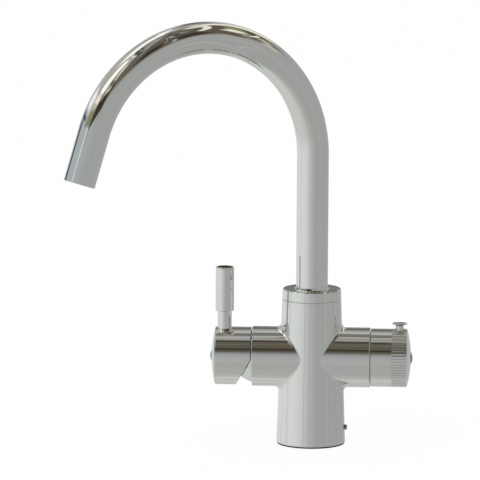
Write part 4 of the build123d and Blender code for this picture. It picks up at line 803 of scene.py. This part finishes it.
white_plastic = moulded_plastic("white_acetal", (0.80, 0.80, 0.76), (0.90, 0.90, 0.87), 0.32, 0.45)
dress(brass_upright, "swivel_adaptor")
dress(white_plastic, "lower_swivel_washer", "upper_swivel_washer")
dress(rubber, "swivel_o_rings", "inner_tube_seal")


# Spout: a brass tube bent in one plane, polished and plated, with a plain square end. It stands in
# the collar and swings from side to side.
TUBE_R = 14.0
TUBE_BORE_R = 12.8
TUBE_FOOT = 112.0
SWELL_FOOT = COLUMN_HEIGHT - 0.3
SWELL_LENGTH = 2.0
SWELL_BLEND = 0.6
SWELL_SLOPE = radians(18)
SWELL_STEPS = 6
BEND_START = 256.6
BEND_R = 110.0
BEND_DEGREES = 162.15
END_LENGTH = 46.5
HEADING = radians(30.65)
BEND_STEPS = 220
TUBE_STEPS = 128
reach_way = Vector((-cos(HEADING), -sin(HEADING), 0))
tube_side = UP.cross(reach_way)


def spout_ring(centre, way, radius, sign, lean=0.0):
    """Corners round the tube at one place. Sign is -1 inside the bore."""
    out = tube_side.cross(way)
    ring = []
    for step in range(TUBE_STEPS + 1):
        angle = 2 * pi * (step % TUBE_STEPS) / TUBE_STEPS
        spoke = out * cos(angle) + tube_side * sin(angle)
        ring.append((centre + spoke * radius, spoke * (sign * cos(lean)) + way * sin(lean)))
    return ring


def spout_centre(turned):
    """Centre and direction of the tube after a number of radians of the bend."""
    way = UP * cos(turned) + reach_way * sin(turned)
    return UP * (BEND_START + BEND_R * sin(turned)) + reach_way * (BEND_R * (1 - cos(turned))), way


stations = [(UP * (COLUMN_HEIGHT + SWELL_LENGTH), UP)]
for step in range(BEND_STEPS + 1):
    stations.append(spout_centre(radians(BEND_DEGREES) * step / BEND_STEPS))
bend_end, end_way = stations[-1]
outlet = bend_end + end_way * END_LENGTH
stations.append((outlet - end_way * EDGE_BREAK, end_way))
spout = Surface()
spout.grid([spout_ring(centre, way, TUBE_R, 1) for centre, way in stations])
swell = []
swell_curve = SWELL_BLEND / sin(SWELL_SLOPE)
for step in range(SWELL_STEPS + 1):
    lean = SWELL_SLOPE * step / SWELL_STEPS
    height = COLUMN_HEIGHT + SWELL_LENGTH - swell_curve * sin(lean)
    swell.append((height, TUBE_R + swell_curve * (1 - cos(lean)), lean))
swell_r = swell[-1][1] + (swell[-1][0] - SWELL_FOOT) * tan(SWELL_SLOPE)
swell.append((SWELL_FOOT, swell_r, SWELL_SLOPE))
spout.grid([spout_ring(UP * height, UP, radius, 1, lean) for height, radius, lean in reversed(swell)])
spout.grid([spout_ring(UP * SWELL_FOOT, -UP, radius, 1, radians(90)) for radius in (TUBE_R, swell_r)])
spout.grid([spout_ring(UP * height, UP, TUBE_R, 1) for height in (TUBE_FOOT, SWELL_FOOT)])
bore = [(UP * TUBE_FOOT, UP), *stations[:-1], (outlet - end_way * FINE_ROUND, end_way)]
spout.grid([spout_ring(centre, way, TUBE_BORE_R, -1) for centre, way in bore])
spout.grid([
    spout_ring(outlet - end_way * EDGE_BREAK, end_way, TUBE_R, 1),
    spout_ring(outlet, end_way, TUBE_R - EDGE_BREAK, 1, radians(70)),
])
spout.grid([
    spout_ring(outlet, end_way, TUBE_R - EDGE_BREAK, 1, radians(90)),
    spout_ring(outlet, end_way, TUBE_BORE_R + FINE_ROUND, 1, radians(90)),
    spout_ring(outlet - end_way * FINE_ROUND, end_way, TUBE_BORE_R, -1),
])
spout.grid([spout_ring(UP * TUBE_FOOT, -UP, radius, 1, radians(90)) for radius in (TUBE_R, TUBE_BORE_R)])
spout.piece("spout", "spout", "polished_nickel", nickel, "spout_tube")


# Inner water tube: a separate white plastic tube that carries the boiling and the filtered water
# through the spout, so that they don't mix with mains water. It ends in the outlet's middle.
dress(white_plastic, "inner_water_tube")


# Outlet: a plated ring pushed into the spout's end. Its lip holds a grey plastic insert with a ring
# of jets round the inner tube's hole, and a rubber seal lies behind the insert.
OUTLET_RING_R = 12.78
OUTLET_RING_BORE_R = 11.28
OUTLET_LIP_R = 10.28
OUTLET_RECESS = 1.0
OUTLET_LIP_END = 2.0
OUTLET_RING_END = 15.0
lathe(
    "outlet_fitting", "spout", "polished_nickel", nickel, "outlet_ring",
    outline([
        (OUTLET_RECESS, OUTLET_LIP_R, FINE_ROUND), (OUTLET_RECESS, OUTLET_RING_R, FINE_ROUND),
        (OUTLET_RING_END, OUTLET_RING_R), (OUTLET_RING_END, OUTLET_RING_BORE_R),
        (OUTLET_LIP_END, OUTLET_RING_BORE_R), (OUTLET_LIP_END, OUTLET_LIP_R, FINE_ROUND),
    ], closed=True),
    outlet, -end_way, tube_side, 128,
)
grey_plastic = moulded_plastic("grey_plastic", (0.27, 0.28, 0.29), (0.37, 0.38, 0.39), 0.38, 0.52)
dress(grey_plastic, "outlet_insert")
dress(rubber, "outlet_seal")


# Mixer cartridge: two ceramic discs meter and mix hot and cold water. The stem drives the upper disc
# through its carrier, and the turret lets it tilt and turn. A brass nut clamps the housing.
def stainless_steel():
    """Drawn stainless steel, satin, with fine lines of uneven shine."""
    material, tree, place = new_material("satin_stainless", 1.0)
    stretched = add_node(tree, "ShaderNodeMapping", {"Vector": place, "Scale": (40.0, 900.0, 900.0)})
    draw = noise(tree, stretched.outputs[0], 1.0, 3.0)
    colour = blended(tree, draw, (0.54, 0.54, 0.53, 1), (0.70, 0.70, 0.69, 1))
    return coat(material, colour, soft_step(tree, draw, -0.4, 2.0))


ceramic = moulded_plastic("lapped_ceramic", (0.86, 0.86, 0.83), (0.93, 0.93, 0.91), 0.06, 0.14)
brass_sideways = turned_brass("X")
steel = stainless_steel()
dress(rubber, "mixer_base_seals")
dress(white_plastic, "mixer_cartridge_base", "mixer_disc_carrier")
dress(ceramic, "mixer_fixed_disc", "mixer_moving_disc")
dress(grey_plastic, "mixer_turret", "mixer_cartridge_housing")
dress(brass_sideways, "mixer_stem", "mixer_clamp_nut")
dress(steel, "mixer_stem_pin")


# Ball-shaped lever cover: a pressed and polished cap that hides the mixer's cartridge. It shows
# through the slanted cut in the lever's drum, and the drum tilts round it.
LEFT = Vector((-1, 0, 0))
ARM_CENTRE = UP * ARM_HEIGHT
PIVOT = 47.4
DOME_R = 23.2
DOME_WALL = 1.5
DOME_HOLE_R = 14.9
DOME_SKIRT_R = 20.3
DOME_SKIRT_BORE_R = 18.8
DOME_SKIRT_END = 50.6


def arc(centre, radius, start, end, steps, side=1):
    """Profile along an arc round a place on the axis. Angles are from the axis, in radians."""
    angles = [start + (end - start) * step / steps for step in range(steps + 1)]
    return [(centre + radius * cos(a), radius * sin(a), side * cos(a), side * sin(a)) for a in angles]


dome_start = acos((ARM_REACH - PIVOT) / DOME_R)
dome_end = asin(DOME_HOLE_R / DOME_R)
inner_r = DOME_R - DOME_WALL
dome_inner_end = asin(DOME_HOLE_R / inner_r)
dome_inner_start = acos((ARM_REACH + 1 - PIVOT) / inner_r)
dome_shell = arc(PIVOT, DOME_R, dome_start, dome_end, 40)
dome_hole = outline([dome_shell[-1][:2], (PIVOT + inner_r * cos(dome_inner_end), DOME_HOLE_R)])
dome_lining = arc(PIVOT, inner_r, dome_inner_end, dome_inner_start, 24, -1)
dome_skirt = outline([
    dome_lining[-1][:2], (ARM_REACH + 1, DOME_SKIRT_BORE_R), (DOME_SKIRT_END, DOME_SKIRT_BORE_R),
    (DOME_SKIRT_END, DOME_SKIRT_R), (ARM_REACH, DOME_SKIRT_R), dome_shell[0][:2],
])
lathe(
    "lever_cover", "root", "polished_nickel", nickel, "lever_dome_cover",
    dome_shell + dome_hole + dome_lining + dome_skirt, ARM_CENTRE, LEFT, UP,
)


# Lever barrel: a drum turned from brass bar, hollow towards the body and closed at its end. Its
# lower inner side is milled away at a slant, so that it clears the arm when the lever is pulled.
HANDLE_RIM = 52.8
BARREL_R = 25.5
BARREL_BORE_R = 23.6
BARREL_END = 84.2
BARREL_FLOOR = 71.2
CAP_RECESS_R = 22.5
CAP_RECESS_DEPTH = 2.2
CUT_ANGLE = radians(28)
CUT_START = 1.0
BARREL_BREAK = 0.3


def barrel_start(height):
    """Distance of the drum's open edge from the tap's axis, at a height above the arm's axis."""
    return HANDLE_RIM + max(0.0, CUT_START - height) * tan(CUT_ANGLE)


def barrel_rib(turn, cut):
    """Corners along the drum at one turn from the top, from the bottom of its bore to its end."""
    out = Vector((0, -sin(turn), cos(turn)))
    lip = (LEFT * -cos(CUT_ANGLE) - UP * sin(CUT_ANGLE)) if cut else -LEFT

    edge_in = barrel_start(BARREL_BORE_R * out.z)
    edge_out = barrel_start((BARREL_R - BARREL_BREAK) * out.z)
    wall = barrel_start(BARREL_R * out.z) + BARREL_BREAK
    recess = BARREL_END - CAP_RECESS_DEPTH
    corners = [
        (BARREL_FLOOR, 0, -LEFT), (BARREL_FLOOR, BARREL_BORE_R, -LEFT), (BARREL_FLOOR, BARREL_BORE_R, -out),
        (edge_in, BARREL_BORE_R, -out), (edge_in, BARREL_BORE_R, lip),
        (edge_out, BARREL_R - BARREL_BREAK, lip), (wall, BARREL_R, out),
        (BARREL_END - EDGE_BREAK - FINE_ROUND, BARREL_R, out),
        (BARREL_END - EDGE_BREAK + FINE_ROUND, BARREL_R - FINE_ROUND, out * 0.75 + LEFT * 0.66),
        (BARREL_END - FINE_ROUND, BARREL_R - EDGE_BREAK + FINE_ROUND, out * 0.66 + LEFT * 0.75),
        (BARREL_END, BARREL_R - EDGE_BREAK - FINE_ROUND, LEFT), (BARREL_END, CAP_RECESS_R, LEFT),
        (BARREL_END, CAP_RECESS_R, -out), (recess, CAP_RECESS_R, -out), (recess, CAP_RECESS_R, LEFT),
        (recess, 0, LEFT),
    ]
    return [(ARM_CENTRE + LEFT * distance + out * radius, normal) for distance, radius, normal in corners]


barrel = Surface()
crease = acos(CUT_START / BARREL_R)
upper = [-crease + 2 * crease * n / HALF_STEPS for n in range(HALF_STEPS + 1)]
lower = [crease + 2 * (pi - crease) * n / HALF_STEPS for n in range(HALF_STEPS + 1)]
barrel.grid([barrel_rib(turn, False) for turn in upper])
barrel.grid([barrel_rib(turn, True) for turn in lower])
barrel.piece("lever_barrel_drum", "lever", "polished_nickel", nickel, "lever_barrel")


# Grub screw: a stainless screw that holds the barrel on the mixer's stem.
dress(steel, "lever_grub_screw")


# Lever handle: one stick turned from brass bar, with a thinner neck that screws into the barrel,
# a fine break at the shoulder and a wider one at the flat top.
HANDLE_DISTANCE = 76.7
HANDLE_SEAT = 101.53
HANDLE_STUB_R = 3.0
HANDLE_STUB_FOOT = 87.53
NECK_R = 6.2
GRIP_R = 8.1
SHOULDER = 117.4
HANDLE_TOP = 156.4
TOP_CHAMFER = 0.9
lathe(
    "lever_stick", "lever", "polished_nickel", nickel, "lever_handle",
    outline([
        (HANDLE_STUB_FOOT, 0), (HANDLE_STUB_FOOT, HANDLE_STUB_R), (HANDLE_SEAT, HANDLE_STUB_R),
        (HANDLE_SEAT, NECK_R, FINE_ROUND), (SHOULDER, NECK_R, 2 * FINE_ROUND),
        (SHOULDER, GRIP_R - EDGE_BREAK, FINE_ROUND), (SHOULDER + EDGE_BREAK, GRIP_R, FINE_ROUND),
        (HANDLE_TOP - TOP_CHAMFER, GRIP_R, 3 * FINE_ROUND),
        (HANDLE_TOP, GRIP_R - TOP_CHAMFER, 3 * FINE_ROUND), (HANDLE_TOP, 0),
    ]),
    LEFT * HANDLE_DISTANCE, UP, steps=128,
)


# End caps: shallow domes pressed from sheet and polished, pushed into the end of each handle, with
# a glossy plastic bead in the middle: blue-violet on the lever and dark grey on the dial.
CAP_RISE = 3.8
CAP_RIM_INSET = 0.4
CAP_RIM_LAND = 0.4
CAP_SPIGOT_LENGTH = 1.4
CAP_SPIGOT_WALL = 3.5
BEAD_DEPTH = 2.0
BEAD_RISE = 1.4
SPIGOT_GAP = 0.02


def glossy_bead(name, dark, pale):
    """Glossy moulded plastic, a little cloudy, with a clear skin."""
    material, tree, place = new_material(name + "_plastic")
    sockets = tree.nodes["Principled BSDF"].inputs
    sockets["Coat Weight"].default_value = 0.6
    sockets["Coat Roughness"].default_value = 0.03
    cloud = noise(tree, place, 180.0, 2.0)
    return coat(material, blended(tree, cloud, (*dark, 1), (*pale, 1)), mapped(tree, cloud, 0, 1, 0.1, 0.18))


def cap_and_bead(body_name, side, end, handle_r, bead_r, slot, dark, pale):
    """Domed cap and its bead, on the end of a handle."""
    rim_r = handle_r - CAP_RIM_INSET
    rise = CAP_RISE - CAP_RIM_LAND
    dome_radius = (rim_r**2 + rise**2) / (2 * rise)
    centre = end + CAP_RISE - dome_radius
    spigot_r = CAP_RECESS_R - SPIGOT_GAP
    bead_floor = end + CAP_RISE - BEAD_DEPTH
    face = arc(centre, dome_radius, asin(rim_r / dome_radius), asin(bead_r / dome_radius), 32)
    back = outline([
        face[-1][:2], (bead_floor, bead_r), (bead_floor, 0), (end, 0), (end, spigot_r - CAP_SPIGOT_WALL),
        (end - CAP_SPIGOT_LENGTH, spigot_r - CAP_SPIGOT_WALL), (end - CAP_SPIGOT_LENGTH, spigot_r),
        (end, spigot_r), (end, rim_r, FINE_ROUND), face[0][:2],
    ])
    cap_name = body_name + "_cap", body_name + "_end_cap"
    lathe(cap_name[0], body_name, "polished_nickel", nickel, cap_name[1], face + back, ARM_CENTRE, side, UP)
    seat_r = bead_r - SPIGOT_GAP
    bead_edge = centre + sqrt(dome_radius**2 - bead_r**2)
    height = end + CAP_RISE + BEAD_RISE - bead_edge
    face_r = (seat_r**2 + height**2) / (2 * height)
    bead = outline([(bead_floor, 0), (bead_floor, seat_r), (bead_edge, seat_r)])
    bead += arc(bead_edge + height - face_r, face_r, asin(seat_r / face_r), 0, 20)
    lathe(
        body_name + "_bead", body_name, slot, glossy_bead(slot, dark, pale), body_name + "_index_bead",
        bead, ARM_CENTRE, side, UP, 96,
    )


DIAL_END = 84.0
DIAL_R = 25.6
cap_and_bead(
    "lever", LEFT, BARREL_END, BARREL_R, 4.6, "blue_violet_bead", (0.13, 0.13, 0.33), (0.24, 0.25, 0.48)
)
cap_and_bead("dial", RIGHT, DIAL_END, DIAL_R, 5.7, "dark_grey_bead", (0.06, 0.08, 0.07), (0.11, 0.13, 0.12))


# Dial cartridge: one ceramic disc turns on another to let boiling or filtered water through. Its
# brass spindle is driven by the dial, and a white ring round it ends the dial's travel each way.
dress(rubber, "valve_base_seals")
dress(white_plastic, "valve_cartridge_base", "dial_stop_ring")
dress(ceramic, "valve_fixed_disc", "valve_rotating_disc")
dress(grey_plastic, "valve_cartridge_housing")
dress(brass_sideways, "valve_spindle", "valve_clamp_nut")
dress(steel, "dial_screw")


# Dial: a drum turned from brass bar. Its inner half is smooth and its outer half carries straight
# knurling, cut along the drum to give a wet hand its grip.
DIAL_BORE_R = 22.6
DIAL_EDGE = 0.7
DIAL_START = 52.3
DIAL_WEB_START = 60.0
DIAL_WEB_END = 66.0
DIAL_HUB_R = 9.0
DIAL_HUB_START = 57.5
DIAL_HUB_END = 72.0
KNURL_START = 71.3
KNURL_COUNT = 60
KNURL_DEPTH = 0.35
RIDGE_TOP_WIDTH = 1.25
RIDGE_FOOT_WIDTH = 2.45
RIDGE_SUNK = 0.15
RIDGE_HEIGHT = KNURL_DEPTH + RIDGE_SUNK
RIDGE_ROUND = 0.4 * RIDGE_HEIGHT
DIAL_END_ROUND = 0.05
lathe(
    "dial_drum", "dial", "polished_nickel", nickel, "dial_shell",
    outline([
        (DIAL_START, DIAL_BORE_R), (DIAL_START, DIAL_R - DIAL_EDGE, FINE_ROUND),
        (DIAL_START + DIAL_EDGE, DIAL_R, FINE_ROUND), (KNURL_START, DIAL_R, FINE_ROUND),
        (KNURL_START, DIAL_R - KNURL_DEPTH),
        (DIAL_END - 2 * DIAL_END_ROUND, DIAL_R - KNURL_DEPTH, DIAL_END_ROUND),
        (DIAL_END, DIAL_R - EDGE_BREAK - DIAL_END_ROUND), (DIAL_END, DIAL_BORE_R),
        (DIAL_WEB_END, DIAL_BORE_R), (DIAL_WEB_END, DIAL_HUB_R), (DIAL_HUB_END, DIAL_HUB_R),
        (DIAL_HUB_END, 0), (DIAL_HUB_START, 0),
        (DIAL_HUB_START, DIAL_HUB_R), (DIAL_WEB_START, DIAL_HUB_R), (DIAL_WEB_START, DIAL_BORE_R),
    ], closed=True),
    ARM_CENTRE, RIGHT, UP, 240,
)

# Geometry Nodes repeat one eased ridge round the drum's axis.
knurls = bpy.data.node_groups.new("knurling", "GeometryNodeTree")
knurls.interface.new_socket("Geometry", in_out="OUTPUT", socket_type="NodeSocketGeometry")
run = add_node(knurls, "GeometryNodeCurvePrimitiveLine", {
    "Start": (KNURL_START * 0.001, 0, 0), "End": ((DIAL_END - EDGE_BREAK) * 0.001, 0, 0),
})
section = add_node(knurls, "GeometryNodeCurvePrimitiveQuadrilateral", {
    "Top Width": RIDGE_TOP_WIDTH * 0.001, "Bottom Width": RIDGE_FOOT_WIDTH * 0.001,
    "Height": RIDGE_HEIGHT * 0.001, "Offset": 0.0,
}, mode="TRAPEZOID")
eased = add_node(knurls, "GeometryNodeFilletCurve", {
    "Curve": section.outputs[0], "Radius": RIDGE_ROUND * 0.001, "Count": 3,
}, mode="POLY")
ridge = add_node(knurls, "GeometryNodeCurveToMesh", {
    "Curve": run.outputs[0], "Profile Curve": eased.outputs[0], "Fill Caps": True,
})
raised = add_node(knurls, "GeometryNodeTransform", {
    "Geometry": ridge.outputs[0], "Translation": (0, 0, (DIAL_R - RIDGE_HEIGHT / 2) * 0.001),
})
spots = add_node(knurls, "GeometryNodePoints", {"Count": KNURL_COUNT, "Position": ARM_CENTRE * 0.001})
angle = maths(knurls, "MULTIPLY", add_node(knurls, "GeometryNodeInputIndex").outputs[0], 2 * pi / KNURL_COUNT)
around = add_node(knurls, "GeometryNodeInstanceOnPoints", {
    "Points": spots.outputs[0], "Instance": raised.outputs[0],
    "Rotation": add_node(knurls, "ShaderNodeCombineXYZ", {0: angle}).outputs[0],
})
real = add_node(knurls, "GeometryNodeRealizeInstances", {0: around.outputs[0]})
plated = add_node(knurls, "GeometryNodeSetMaterial", {"Geometry": real.outputs[0], "Material": nickel})
add_node(knurls, "NodeGroupOutput", {0: plated.outputs[0]})
carrier = new_object("dial_knurling_carrier", bpy.data.meshes.new("dial_knurling_carrier"))
carrier.modifiers.new("grow", "NODES").node_group = knurls
grown = bpy.data.meshes.new_from_object(carrier.evaluated_get(bpy.context.evaluated_depsgraph_get()))
bpy.data.objects.remove(carrier)
knurling = new_object("dial_knurling", grown)
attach(knurling, "dial")


# Safety button: a mushroom head on a stem, turned and polished, that slides in a bush through the
# dial's wall. It has to be pressed before the dial turns to boiling water.
BUTTON_DISTANCE = 77.6
BUSH_R = 4.6
BUSH_BORE_R = 3.5
BUSH_SPRING_BORE_R = 3.8
BUSH_TOP = ARM_HEIGHT + DIAL_R + 0.2
BUSH_FOOT = ARM_HEIGHT + 10.0
BUSH_GUIDE = 4.0
SPRING_FLOOR = BUSH_FOOT + 1.5
BUTTON_TOP = 108.5
BUTTON_HEAD_R = 6.75
BUTTON_RIM = 0.9
BUTTON_CONE = 1.6
BUTTON_CROWN = 0.35
BUTTON_STEM_R = 3.45
BUTTON_TAIL_R = 1.6
BUTTON_SHOULDER = BUSH_TOP - 7.5
BUTTON_TAIL_FOOT = ARM_HEIGHT + 8.0
lathe(
    "button_guide", "dial", "polished_nickel", nickel, "button_bush",
    outline([
        (BUSH_FOOT, BUTTON_TAIL_R + RUNNING_GAP), (BUSH_FOOT, BUSH_R), (BUSH_TOP, BUSH_R, FINE_ROUND),
        (BUSH_TOP, BUSH_BORE_R, FINE_ROUND), (BUSH_TOP - BUSH_GUIDE, BUSH_BORE_R),
        (BUSH_TOP - BUSH_GUIDE, BUSH_SPRING_BORE_R), (SPRING_FLOOR, BUSH_SPRING_BORE_R),
        (SPRING_FLOOR, BUTTON_TAIL_R + RUNNING_GAP),
    ], closed=True),
    RIGHT * BUTTON_DISTANCE, UP, steps=96,
)
head_rim = BUTTON_TOP - BUTTON_RIM
crown_r = BUTTON_HEAD_R - EDGE_BREAK
crown_curve = (crown_r**2 + BUTTON_CROWN**2) / (2 * BUTTON_CROWN)
crown = arc(BUTTON_TOP - crown_curve, crown_curve, asin(crown_r / crown_curve), 0, 12)
lathe(
    "button", "button", "polished_nickel", nickel, "safety_button",
    outline([
        (BUTTON_TAIL_FOOT, 0), (BUTTON_TAIL_FOOT, BUTTON_TAIL_R), (BUTTON_SHOULDER, BUTTON_TAIL_R),
        (BUTTON_SHOULDER, BUTTON_STEM_R), (head_rim - BUTTON_CONE, BUTTON_STEM_R, 3 * FINE_ROUND),
        (head_rim, BUTTON_HEAD_R, FINE_ROUND), (crown[0][0] - EDGE_BREAK, BUTTON_HEAD_R, FINE_ROUND),
        crown[0][:2],
    ]) + crown,
    RIGHT * BUTTON_DISTANCE, UP, steps=128,
)
dress(steel, "button_clip")


# Return spring: an open coil of round wire round the button's tail, between the bush's floor and
# the stem's shoulder.
SPRING_MEAN_R = 2.75
SPRING_WIRE_R = 0.35
SPRING_TURNS = 5
COIL_STEPS = 32
spring_length = BUTTON_SHOULDER - SPRING_FLOOR
coil = []
for step in range(COIL_STEPS * SPRING_TURNS + 1):
    angle = 2 * pi * step / COIL_STEPS
    out = Vector((cos(angle), sin(angle), 0))
    share = step / (COIL_STEPS * SPRING_TURNS)
    height = SPRING_FLOOR + SPRING_WIRE_R + (spring_length - 2 * SPRING_WIRE_R) * share
    centre = RIGHT * BUTTON_DISTANCE + out * SPRING_MEAN_R + UP * height
    ways = [out * cos(pi * side / 6) + UP * sin(pi * side / 6) for side in (*range(12), 0)]
    coil.append([(centre + way * SPRING_WIRE_R, way) for way in ways])
spring = Surface()
spring.grid(coil)
for ring, way in ((coil[0], Vector((0, -1, 0))), (coil[-1], Vector((0, 1, 0)))):
    spring.face(*((point, way) for point, normal in ring[:-1]))
return_spring = spring.piece("return_spring", "dial", "stainless_steel", steel, "button_spring")
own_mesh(return_spring)
